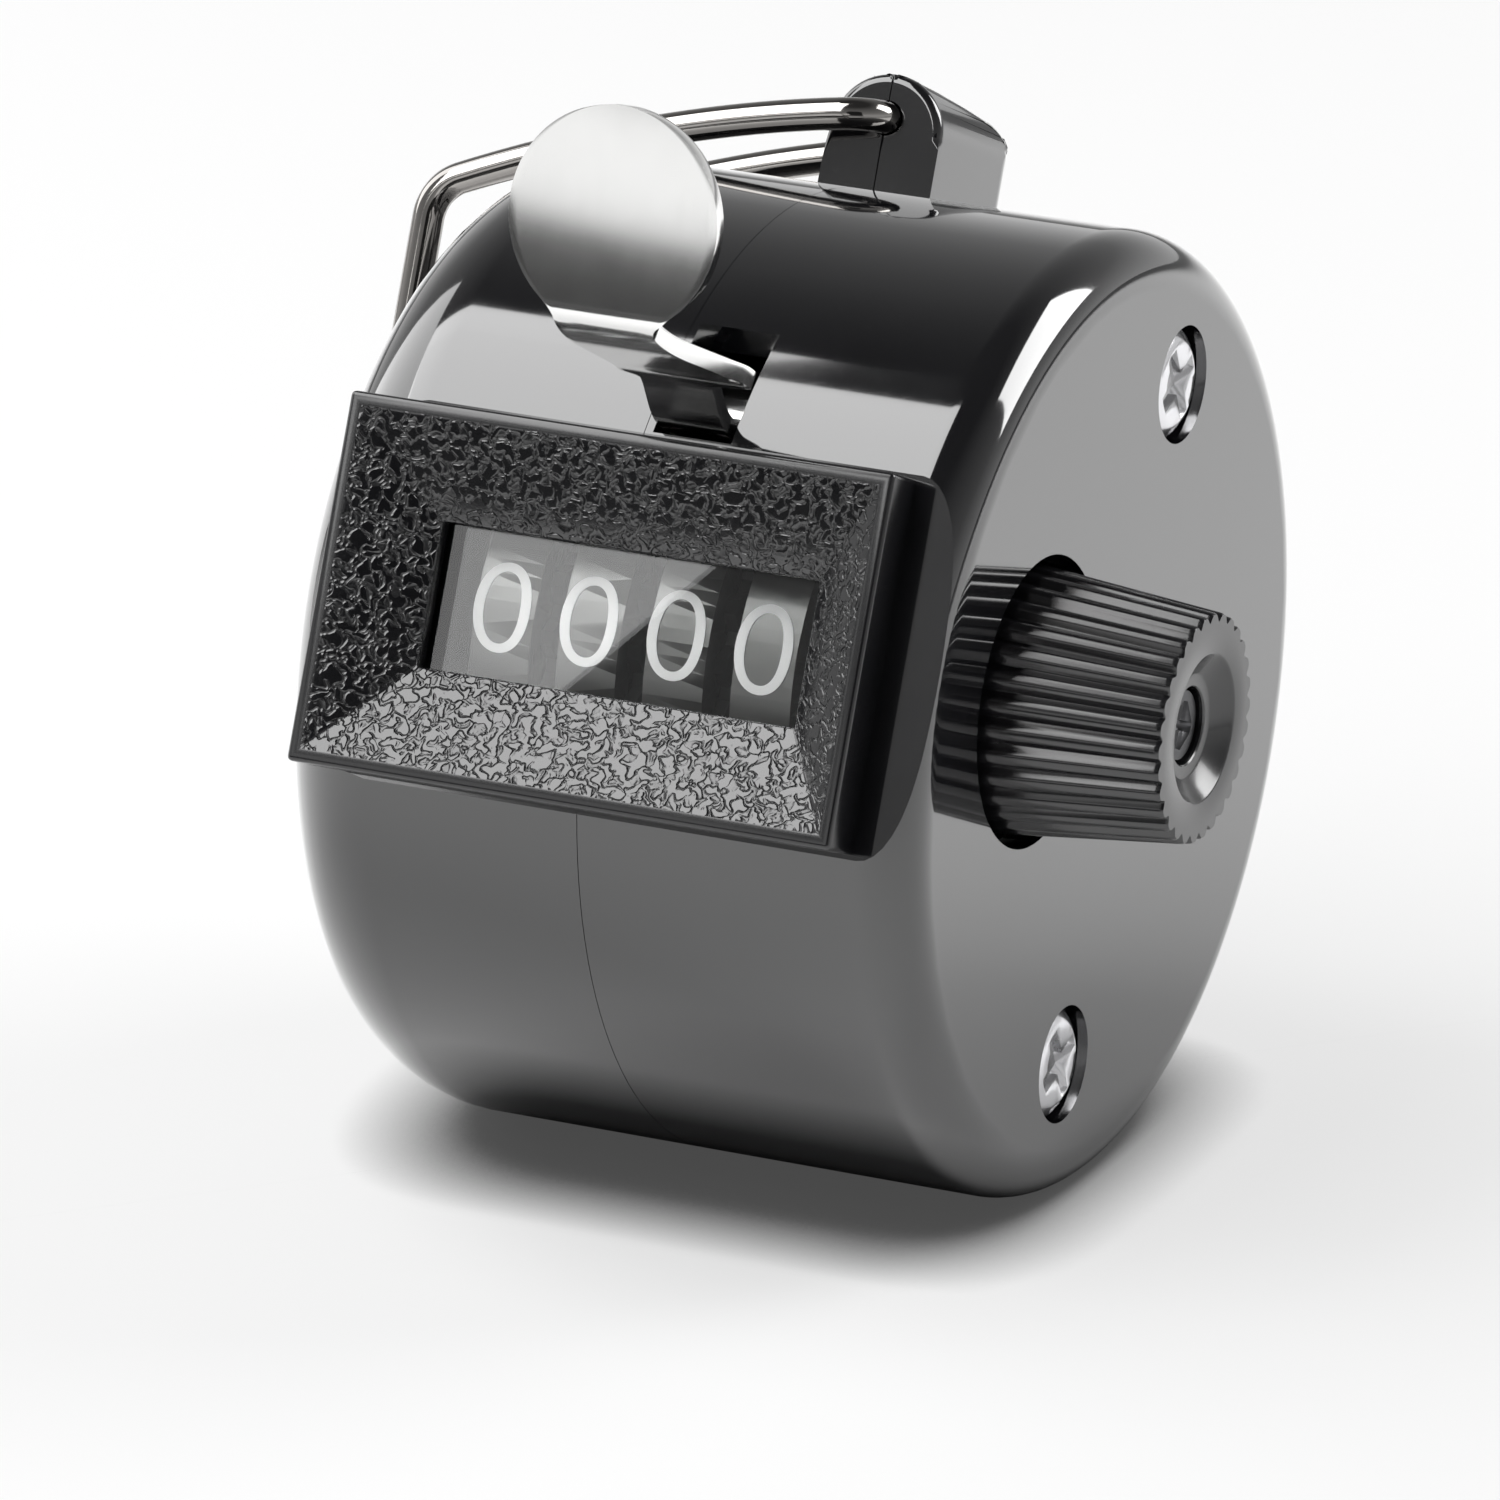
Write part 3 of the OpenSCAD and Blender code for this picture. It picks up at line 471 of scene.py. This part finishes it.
def digit_outline(text):
    curve = bpy.data.curves.new("digit_" + text, "FONT")
    curve.body = text
    curve.align_x = "CENTER"
    curve.resolution_u = 10
    curve.offset = DIGIT_THIN
    glyph = bpy.data.objects.new("digit_" + text, curve)
    bpy.context.scene.collection.objects.link(glyph)
    bpy.context.view_layer.update()
    ready = glyph.evaluated_get(bpy.context.evaluated_depsgraph_get())
    mesh = bpy.data.meshes.new_from_object(ready)
    bpy.data.objects.remove(glyph)
    bpy.data.curves.remove(curve)
    return mesh


def make_digits(name, centre_x):
    bm = bmesh.new()
    zero = digit_outline("0")
    low = [min(v.co[k] for v in zero.vertices) for k in (0, 1)]
    high = [max(v.co[k] for v in zero.vertices) for k in (0, 1)]
    wide, tall = DIGIT_W / (high[0] - low[0]), DIGIT_H / (high[1] - low[1])
    middle = (high[1] + low[1]) / 2
    for k in range(10):
        part = bmesh.new()
        part.from_mesh(digit_outline(str(k)))
        bmesh.ops.remove_doubles(part, verts=part.verts, dist=1e-5)
        left, right = (f(v.co.x for v in part.verts) for f in (min, max))
        for v in part.verts:
            v.co = Vector(((v.co.x - (left + right) / 2) * wide, (v.co.y - middle) * tall, 0))
        for band in range(1, DIGIT_BANDS):
            cut_y = DIGIT_H * (band / DIGIT_BANDS - 0.5)
            bmesh.ops.bisect_plane(part, geom=part.verts[:] + part.edges[:] + part.faces[:],
                                   plane_co=(0, cut_y, 0), plane_no=(0, 1, 0), dist=1e-4)
        grown = bmesh.ops.extrude_face_region(part, geom=part.faces[:], use_keep_orig=True)
        for g in grown["geom"]:
            if isinstance(g, bmesh.types.BMVert):
                g.co.z = 1
        for v in part.verts:
            around = math.pi + DIGIT_STEP * k - v.co.y / WHEEL_R
            reach = WHEEL_R + DIGIT_RAISE[1 if v.co.z > 0.5 else 0]
            v.co = Vector((centre_x + v.co.x, WHEEL_Y + reach * math.cos(around), reach * math.sin(around)))
        bmesh.ops.recalc_face_normals(part, faces=part.faces)
        joined = bpy.data.meshes.new("joined")
        part.to_mesh(joined)
        part.free()
        bm.from_mesh(joined)
        bpy.data.meshes.remove(joined)
    mesh = mesh_from(bm, name + "_digits", 30)
    return keep_piece(mesh, name + "_digits", name, [DIGIT_WHITE])


for place, wheel in enumerate(WHEELS):
    node_name = wheel + "_wheel"
    wheel_mesh = mesh_from(merged_node(node_name), node_name + "_moulded", 35, upright=False)
    for face in wheel_mesh.polygons:
        spot = TO_DRUM @ face.center
        on_band = math.hypot(spot.y - WHEEL_Y, spot.z) > WHEEL_R - BAND_DEPTH
        face.material_index = 0 if on_band else 1
    finishes = [WHEEL_SATIN, WHEEL_BLACK]
    keep_piece(wheel_mesh, node_name + "_moulded", wheel, finishes, [node_name])
    make_digits(wheel, WINDOW_X + (1.5 - place) * WHEEL_PITCH - DIGIT_LEFT)


# Thumb lever: a bent sheet with a round pad, and the arm inside the case
# The neck, the fold, the bulge and the tip are the dressed sheet's own
LEVER_T = 0.8
TONGUE_X, TONGUE_W = 2.3, 3.4
STRIP_X, STRIP_W, NECK_W = 2.9, 6.5, 4.7
PAD_X, PAD_R, PAD_LEAN = 2.45, 4.93, math.radians(15)
PAD_NECK = 4.1
PAD_TIP_HALF_W = 0.3
PAD_BULGE = 0.2
PAD_TIP_BACK = math.radians(2.5)
STEP_RUN, STEP_BACK = 0.25, 0.2
LEVER_EDGE, ARM_LAP = 0.16, 0.4
STRIP_ROWS, PAD_ROWS, COLUMNS = 110, 60, 24
STRIP_SHARE, BEND_STEPS = 0.7, 16
NECK_FILLET = 0.6
NECK_LEFT, NECK_BACK = 0.25, 0.5
FOLD_DROP = 0.8
BEND = (1.1, 1.1)
FOLD_BEND = (3.2, 1.0)
SLOT_OUT = Vector((SEAT_Y - 0.3, SEAT_H / 2 + 0.8))
BRIDGE_FOOT = Vector((SEAT_Y + 3.09, SEAT_H / 2 + 0.6))
STRIP_RISE = Vector((SEAT_Y - 2.8, SEAT_H / 2 + 2.9))
PAD_FOOT = STRIP_RISE + Vector((-8.4, 1.4))
PAD_DIR = Vector((-math.sin(PAD_LEAN), math.cos(PAD_LEAN)))
PAD_MID = PAD_FOOT + PAD_NECK * PAD_DIR
PAD_TOP = PAD_MID + PAD_R * PAD_DIR
PAD_FACE = Vector((-PAD_DIR.y, PAD_DIR.x))
PAD_FOLD = PAD_FOOT - FOLD_DROP * PAD_DIR


def rounded_line(points, bends, steps):
    """Points along a line whose corners are rounded, each as (distance, place)."""
    line = [points[0]]
    for before, here, after, bend in zip(points, points[1:], points[2:], bends):
        start = here + bend[0] * (before - here).normalized()
        end = here + bend[1] * (after - here).normalized()
        for i in range(steps + 1):
            t = i / steps
            line.append((1 - t) ** 2 * start + 2 * t * (1 - t) * here + t * t * end)
    line.append(points[-1])
    run, out = 0.0, [(0.0, line[0])]
    for a, b in zip(line, line[1:]):
        run += (b - a).length
        out.append((run, b))
    return out


def place_on(line, run):
    for (s0, p0), (s1, p1) in zip(line, line[1:]):
        if run <= s1:
            return p0 + (p1 - p0) * ((run - s0) / max(s1 - s0, 1e-9))
    return line[-1][1]


def blend(value, low, high):
    """A soft step from 0 at low to 1 at high."""
    t = min(max((value - low) / (high - low), 0), 1)
    return t * t * (3 - 2 * t)


def pad_reach(to_pad, half):
    """How far the pad and its filleted neck reach sideways, at a distance below the pad's middle."""
    centre_x = half + NECK_FILLET
    centre_s = math.sqrt((PAD_R + NECK_FILLET) ** 2 - centre_x ** 2)
    touch = centre_s * PAD_R / (PAD_R + NECK_FILLET)
    if to_pad < touch:
        return math.sqrt(max(PAD_R ** 2 - to_pad ** 2, 0))
    if to_pad < centre_s:
        return centre_x - math.sqrt(max(NECK_FILLET ** 2 - (centre_s - to_pad) ** 2, 0))
    return half


def lever_edges(run, place, rise_run, to_pad):
    """Left and right edge of the sheet: narrow tongue, flared strip, neck and round pad."""
    if run < rise_run + STEP_RUN:
        wide = blend(run, rise_run - STEP_RUN, rise_run + STEP_RUN)
        half = TONGUE_W / 2 + (STRIP_W - TONGUE_W) / 2 * wide
        middle = TONGUE_X + (STRIP_X - TONGUE_X) * wide
        return middle - half, middle + half
    neck_y = PAD_FOLD.x + NECK_BACK
    along = min(max((STRIP_RISE.x - place.x) / (STRIP_RISE.x - neck_y), 0), 1)
    if along == 1:
        left = pad_reach(to_pad, NECK_W / 2 + NECK_LEFT)
        right = pad_reach(to_pad, NECK_W / 2 - NECK_LEFT)
        return PAD_X - left, PAD_X + right
    middle = STRIP_X + (PAD_X - NECK_LEFT - STRIP_X) * along
    half = STRIP_W / 2 + (NECK_W - STRIP_W) / 2 * along
    return middle - half, middle + half


def make_lever():
    line = rounded_line([BRIDGE_FOOT, SLOT_OUT, STRIP_RISE, PAD_FOLD, PAD_TOP],
                        [BEND, BEND, FOLD_BEND], BEND_STEPS)
    total = line[-1][0]
    pad_run = total - PAD_R
    rise_run = (SLOT_OUT - BRIDGE_FOOT).length + (STRIP_RISE - SLOT_OUT).length - STEP_BACK
    start = pad_run * STRIP_SHARE
    rows = [start * i / STRIP_ROWS for i in range(STRIP_ROWS)]
    rows += [start + (pad_run - start) * i / PAD_ROWS for i in range(PAD_ROWS)]
    last_turn = math.acos(PAD_TIP_HALF_W / PAD_R)
    rows += [pad_run + PAD_R * math.sin(last_turn * i / PAD_ROWS) for i in range(PAD_ROWS + 1)]
    bm = bmesh.new()
    bmesh.ops.create_grid(bm, x_segments=COLUMNS, y_segments=len(rows) - 1, size=1)
    for v in bm.verts:
        run = rows[round((v.co.y + 1) / 2 * (len(rows) - 1))]
        place = place_on(line, run)
        left, right = lever_edges(run, place, rise_run, pad_run - run)
        x = (left + right) / 2 + v.co.x * (right - left) / 2
        from_middle = ((x - PAD_X) ** 2 + (pad_run - run) ** 2) / PAD_R ** 2
        above = max(run - pad_run + PAD_R, 0)
        forward = PAD_BULGE * max(1 - from_middle, 0) - math.tan(PAD_TIP_BACK) * above / 2
        place = place + forward * PAD_FACE
        v.co = Vector((x, place.x, place.y))
    bmesh.ops.recalc_face_normals(bm, faces=bm.faces)
    mesh = mesh_from(bm, "thumb_lever_sheet", 60)
    piece = keep_piece(mesh, "thumb_lever_sheet", "lever", [LEVER_STEEL], ["thumb_lever"])
    thick = piece.modifiers.new("sheet", "SOLIDIFY")
    thick.thickness = LEVER_T * MM
    thick.offset = 0
    round_edge = piece.modifiers.new("edge", "BEVEL")
    round_edge.width = LEVER_EDGE * MM
    round_edge.segments = 3
    round_edge.angle_limit = math.radians(50)
    return piece


def make_lever_arm():
    bm = merged_node("thumb_lever")
    bm.transform(TO_DRUM)
    bmesh.ops.bisect_plane(bm, geom=bm.verts[:] + bm.edges[:] + bm.faces[:], clear_inner=True,
                           plane_co=(0, BRIDGE_FOOT.x - ARM_LAP, 0), plane_no=(0, 1, 0))
    bmesh.ops.holes_fill(bm, edges=bm.edges)
    mesh = mesh_from(bm, "lever_arm", 35)
    return keep_piece(mesh, "lever_arm", "lever", [LEVER_STEEL])


make_lever()
make_lever_arm()


# Finger ring: one bent wire
LEG_Y = -WIRE_R - 0.8
RING_REACH, RING_DROP = 21.9, 10.9
HOOK_R, BEND_R = 1.6, 2.2
LEG_FALL, LEG_BOW, LEG_RUN = 1.35, 0.87, 10.5
RING_STEPS = 14
PIN_DEPTH, PIN_NEAR = 3, 0.3


def leg_z(s):
    return BOSS_Z - LEG_FALL * s / LEG_RUN - LEG_BOW * (s / LEG_RUN) ** 2


def half_ring():
    """The wire from its end in the boss, out along one leg and down to the crossbar."""
    steps = RING_STEPS
    end = RING_REACH - BEND_R
    far_z = leg_z(end)
    hook_y = LEG_Y + HOOK_R
    path = [Vector((0, hook_y + PIN_DEPTH, BOSS_Z)), Vector((0, hook_y + PIN_NEAR, BOSS_Z))]
    for i in range(steps):
        a = math.pi / 2 * i / steps
        x = HOOK_R * (1 - math.cos(a))
        path.append(Vector((-x, LEG_Y + HOOK_R * (1 - math.sin(a)), leg_z(x))))
    for i in range(2 * steps + 1):
        s = HOOK_R + (end - HOOK_R) * i / (2 * steps)
        path.append(Vector((-s, LEG_Y, leg_z(s))))
    tip = math.atan(LEG_FALL / LEG_RUN + 2 * LEG_BOW * end / LEG_RUN ** 2)
    turned = math.pi / 2 + tip
    for i in range(1, steps + 1):
        a = turned + (math.pi / 2 - tip) * i / steps
        path.append(Vector((-end + BEND_R * (math.cos(a) - math.cos(turned)), LEG_Y,
                            far_z + BEND_R * (math.sin(a) - math.sin(turned)))))
    foot_x, foot_z = path[-1].x, far_z - RING_DROP
    for i in range(steps + 1):
        a = math.pi / 2 * i / steps
        path.append(Vector((foot_x, LEG_Y + BEND_R * (1 - math.cos(a)),
                            foot_z + BEND_R * (1 - math.sin(a)))))
    return path


def make_ring():
    front = half_ring()
    back = [Vector((p.x, BOSS_L - p.y, p.z)) for p in reversed(front)]
    path = front + back
    curve = bpy.data.curves.new("finger_ring_wire", "CURVE")
    curve.dimensions = "3D"
    curve.bevel_depth = WIRE_R
    curve.bevel_resolution = 8
    curve.use_fill_caps = True
    spline = curve.splines.new("POLY")
    spline.points.add(len(path) - 1)
    for point, place in zip(spline.points, path):
        point.co = (*place, 1)
    wire = bpy.data.objects.new("finger_ring_path", curve)
    bpy.context.scene.collection.objects.link(wire)
    bpy.context.view_layer.update()
    mesh = bpy.data.meshes.new_from_object(wire.evaluated_get(bpy.context.evaluated_depsgraph_get()))
    bpy.data.objects.remove(wire)
    bpy.data.curves.remove(curve)
    bm = bmesh.new()
    bm.from_mesh(mesh)
    bmesh.ops.remove_doubles(bm, verts=bm.verts, dist=1e-4)
    bmesh.ops.recalc_face_normals(bm, faces=bm.faces)
    mesh.materials.clear()
    ring = mesh_from(bm, "finger_ring_wire", 40)
    return keep_piece(ring, "finger_ring_wire", "ring", [RING_CHROME], ["finger_ring"])


make_ring()


# Reset knob: a fluted, tapered barrel with a countersunk end
KNOB_IN_X, KNOB_END_X = 13.275, 24.0
KNOB_BASE_R, KNOB_END_R = 5.95, 5.15
KNOB_FLUTES, FLUTE_DEPTH = 30, 0.34
SINK_R, SINK_FOOT_R, SINK_D = 3.3, 2.35, 0.8
POCKET_R, POCKET_D = 1.75, 1.2
FLUTE_STEPS, FLUTE_POWER = 10, 2.2
BARREL_STEPS, BARREL_LIP = 12, 0.25
KNOB_BORE_R, KNOB_INNER_R, POCKET_BORE_R = 1.5, 4.9, 0.9


def make_knob():
    taper = (KNOB_BASE_R - KNOB_END_R) / (KNOB_END_X - CASE_HALF_W)
    side = [(KNOB_IN_X, KNOB_BORE_R, 0), (KNOB_IN_X, KNOB_INNER_R, 0)]
    for i in range(BARREL_STEPS + 1):
        x = KNOB_IN_X + (KNOB_END_X - BARREL_LIP - KNOB_IN_X) * i / BARREL_STEPS
        side.append((x, KNOB_END_R + taper * (KNOB_END_X - x), 1))
    foot_x = KNOB_END_X - SINK_D
    side += [(KNOB_END_X - 0.08, KNOB_END_R, 1), (KNOB_END_X, KNOB_END_R - 0.06, 1),
             (KNOB_END_X, KNOB_END_R - FLUTE_DEPTH - 0.2, 0), (KNOB_END_X, SINK_R + 0.12, 0),
             (KNOB_END_X - 0.04, SINK_R + 0.03, 0), (KNOB_END_X - 0.12, SINK_R - 0.04, 0),
             (foot_x + 0.05, SINK_FOOT_R + 0.04, 0), (foot_x, SINK_FOOT_R - 0.05, 0),
             (foot_x, POCKET_R + 0.06, 0), (foot_x - 0.06, POCKET_R, 0),
             (foot_x - POCKET_D, POCKET_R, 0), (foot_x - POCKET_D, POCKET_BORE_R, 0)]
    count = KNOB_FLUTES * FLUTE_STEPS
    bm = bmesh.new()
    bmesh.ops.create_circle(bm, segments=count, radius=1)
    ring = bm.edges[:]
    for index, (x, r, fluted) in enumerate(side):
        if index:
            grown = bmesh.ops.extrude_edge_only(bm, edges=ring)["geom"]
            ring = [g for g in grown if isinstance(g, bmesh.types.BMEdge)]
        for v in {v for e in ring for v in e.verts}:
            around = math.atan2(v.co.z, v.co.y) if index else math.atan2(v.co.y, v.co.x)
            phase = around * KNOB_FLUTES
            dip = max(0.0, 0.5 + 0.5 * math.cos(phase)) ** FLUTE_POWER
            reach = r - fluted * FLUTE_DEPTH * dip
            v.co = Vector((x, reach * math.cos(around), reach * math.sin(around)))
    bmesh.ops.translate(bm, verts=bm.verts, vec=(0, WHEEL_Y, 0))
    bmesh.ops.recalc_face_normals(bm, faces=bm.faces)
    mesh = mesh_from(bm, "reset_knob_fluted", 40)
    return keep_piece(mesh, "reset_knob_fluted", "reset_shaft", [KNOB_BLACK], ["reset_knob"])


make_knob()

# Plain nodes keep their solids and get their finish
FINISHES = {
    "window_lens": LENS_CLEAR, "lever_pin": FRAME_STEEL, "lever_spring": FRAME_STEEL,
    "drive_pawl": FRAME_STEEL, "pawl_pin": FRAME_STEEL, "ratchet_wheel": GEAR_BRASS,
    "detent_spring": FRAME_STEEL, "frame_plate_left": FRAME_STEEL, "frame_plate_right": FRAME_STEEL,
    "frame_pillars": FRAME_STEEL, "main_shaft": FRAME_STEEL, "shaft_clip": FRAME_STEEL,
    "tens_pinion": GEAR_BRASS, "hundreds_pinion": GEAR_BRASS, "thousands_pinion": GEAR_BRASS,
    "pinion_shaft": FRAME_STEEL,
}
for node_name, finish in FINISHES.items():
    for material_slot in nodes[node_name].material_slots:
        material_slot.material = finish
for node_name, body, slot_name, finish in (("case_screws", "case", "screw_steel", SCREW_STEEL),
                                           ("knob_screw", "reset_shaft", "knob_screw_dark", SCREW_DARK)):
    screw_mesh = mesh_from(merged_node(node_name), node_name + "_turned", 28, upright=False)
    keep_piece(screw_mesh, node_name + "_turned", body, [finish], [node_name])


# Floor, light and camera
ROOM_LEVELS = ((0.0, 0.7), (0.34, 0.32), (0.73, 0.16), (0.9, 0.05))
# Painted contact shadow: the occlusion's reach, span and samples, and the dark and white table colours
CONTACT_REACH = 0.006
CONTACT_SPAN = (0.3, 0.9)
CONTACT_SAMPLES = 32
CONTACT_SHADE, TABLE_WHITE = (0.1, 0.1, 0.1), (0.92, 0.92, 0.92)
FLOOR_HALF, FLOOR_GLOW = 4, 0.65
CARD_BLACK, CARD_WHITE = (0.02, 0.0), (0.0, 1.0)


def make_floor():
    """A white table top with a painted contact shadow where the drum meets it, and partly self-lit for the
    camera alone.
    """
    bm = bmesh.new()
    bmesh.ops.create_grid(bm, x_segments=1, y_segments=1, size=FLOOR_HALF)
    mesh = bpy.data.meshes.new("table_top")
    bm.to_mesh(mesh)
    bm.free()
    floor = bpy.data.objects.new("table_top", mesh)
    bpy.context.scene.collection.objects.link(floor)
    material, tree, shader = new_material("table_white")
    # Painted contact shadow: ambient occlusion darkens the table's colour towards CONTACT_SHADE near the
    # drum
    corner = add_node(tree, "ShaderNodeAmbientOcclusion", Distance=CONTACT_REACH)
    corner.samples = CONTACT_SAMPLES
    clear = map_range(tree, corner.outputs["AO"], *CONTACT_SPAN, 0, 1)
    tint = mix_colour(tree, clear, CONTACT_SHADE, TABLE_WHITE)
    tree.links.new(tint, shader.inputs["Base Color"])
    shader.inputs["Roughness"].default_value = 0.9
    shader.inputs["Specular IOR Level"].default_value = 0.1
    # The camera's glow takes the same colour, painted contact shadow included
    glow = add_node(tree, "ShaderNodeEmission", Strength=1.0)
    tree.links.new(tint, glow.inputs["Color"])
    path = tree.nodes.new("ShaderNodeLightPath")
    mix = tree.nodes.new("ShaderNodeMixShader")
    share = math_node(tree, "MULTIPLY", path.outputs["Is Camera Ray"], FLOOR_GLOW)
    tree.links.new(share, mix.inputs[0])
    tree.links.new(shader.outputs[0], mix.inputs[1])
    tree.links.new(glow.outputs[0], mix.inputs[2])
    tree.links.new(mix.outputs[0], tree.nodes["Material Output"].inputs["Surface"])
    mesh.materials.append(material)


def add_light(name, place, turn, size, power):
    lamp = bpy.data.lights.new(name, "AREA")
    lamp.energy = power
    lamp.shape = "RECTANGLE"
    lamp.size, lamp.size_y = size
    light = bpy.data.objects.new(name, lamp)
    bpy.context.scene.collection.objects.link(light)
    light.location = place
    light.rotation_euler = [math.radians(angle) for angle in turn]
    light.visible_camera = False
    return light


# Studio cards that only shines see: they shade the bezel and split the thumb pad into light and dark
def add_card(name, finish, size, place, turn):
    bm = bmesh.new()
    bmesh.ops.create_grid(bm, x_segments=1, y_segments=1, size=0.5)
    bmesh.ops.scale(bm, verts=bm.verts, vec=(*size, 1))
    angles = Euler([math.radians(angle) for angle in turn])
    bm.transform(Matrix.Translation(place) @ angles.to_matrix().to_4x4())
    mesh = bpy.data.meshes.new(name)
    bm.to_mesh(mesh)
    bm.free()
    card = bpy.data.objects.new(name, mesh)
    bpy.context.scene.collection.objects.link(card)
    material, tree, shader = new_material(name + "_paper")
    tone, glow = finish
    shader.inputs["Base Color"].default_value = (tone, tone, tone, 1)
    shader.inputs["Roughness"].default_value = 0.9
    shader.inputs["Emission Color"].default_value = (1, 1, 1, 1)
    shader.inputs["Emission Strength"].default_value = glow
    mesh.materials.append(material)
    card.visible_camera = False
    card.visible_diffuse = False
    card.visible_shadow = False


# The room: pale at the horizon and dark overhead
def make_world():
    world = bpy.data.worlds.new("studio")
    bpy.context.scene.world = world
    world.use_nodes = True
    tree = world.node_tree
    coords = tree.nodes.new("ShaderNodeTexCoord")
    split = tree.nodes.new("ShaderNodeSeparateXYZ")
    tree.links.new(coords.outputs["Generated"], split.inputs[0])
    ramp = tree.nodes.new("ShaderNodeValToRGB")
    tree.links.new(split.outputs["Z"], ramp.inputs["Fac"])
    stops = ramp.color_ramp.elements
    for place, _ in ROOM_LEVELS[1:-1]:
        stops.new(place)
    for stop, (place, level) in zip(stops, ROOM_LEVELS):
        stop.position = place
        stop.color = (level, level, level, 1)
    tree.links.new(ramp.outputs["Color"], tree.nodes["Background"].inputs["Color"])
    tree.nodes["Background"].inputs["Strength"].default_value = 1


AIM = Vector((-1.21, -1.59, 18.16)) * MM
AZIMUTH, ELEVATION, DISTANCE = math.radians(25.24), math.radians(20.4), 0.5921
FOCAL, SENSOR, CLIP = 313.5, 36, 0.01


def make_camera():
    lens = bpy.data.cameras.new("photo_view")
    lens.lens = FOCAL
    lens.sensor_width = SENSOR
    lens.clip_start = CLIP
    camera = bpy.data.objects.new("photo_view", lens)
    bpy.context.scene.collection.objects.link(camera)
    back = Vector((math.sin(AZIMUTH) * math.cos(ELEVATION), -math.cos(AZIMUTH) * math.cos(ELEVATION),
                   math.sin(ELEVATION)))
    camera.location = AIM + DISTANCE * back
    camera.rotation_euler = (-back).to_track_quat("-Z", "Y").to_euler()
    bpy.context.scene.camera = camera


make_floor()
make_world()
make_camera()
add_card("flat_card", CARD_BLACK, (0.3, 0.22), (-0.0854, -0.1918, 0.0005), (0, 0, -24))
add_card("low_card", CARD_BLACK, (0.4, 0.048), (-0.1302, -0.2923, 0.0245), (90, 0, -24))
add_card("pad_card", CARD_WHITE, (0.4, 0.06), (-0.1302, -0.2923, 0.0785), (90, 0, -24))
add_card("camera_card", CARD_BLACK, (0.5, 0.45), (0.318, -0.675, 0.3), (90, 0, 25.24))
add_light("top_box", (-0.258, -0.298, 0.42), (0, 0, -7), (0.36, 0.62), 3.1)
add_light("left_top_box", (-0.2807, 0.0444, 0.42), (0, 0, -7), (0.234, 0.054), 0.18)
add_light("left_box", (-0.42, 0.06, 0.25), (0, -70, 0), (0.3, 0.28), 0.6)
add_light("right_rear_box", (0.34, 0.3, 0.32), (54.6, 0, 131.4), (0.3, 0.3), 2.0)
add_light("window_box", (-0.2536, -0.504, 0.2746), (48.71, -52.45, 8.24), (0.056, 0.023), 0.0115)
bpy.context.scene.view_settings.view_transform = "Standard"
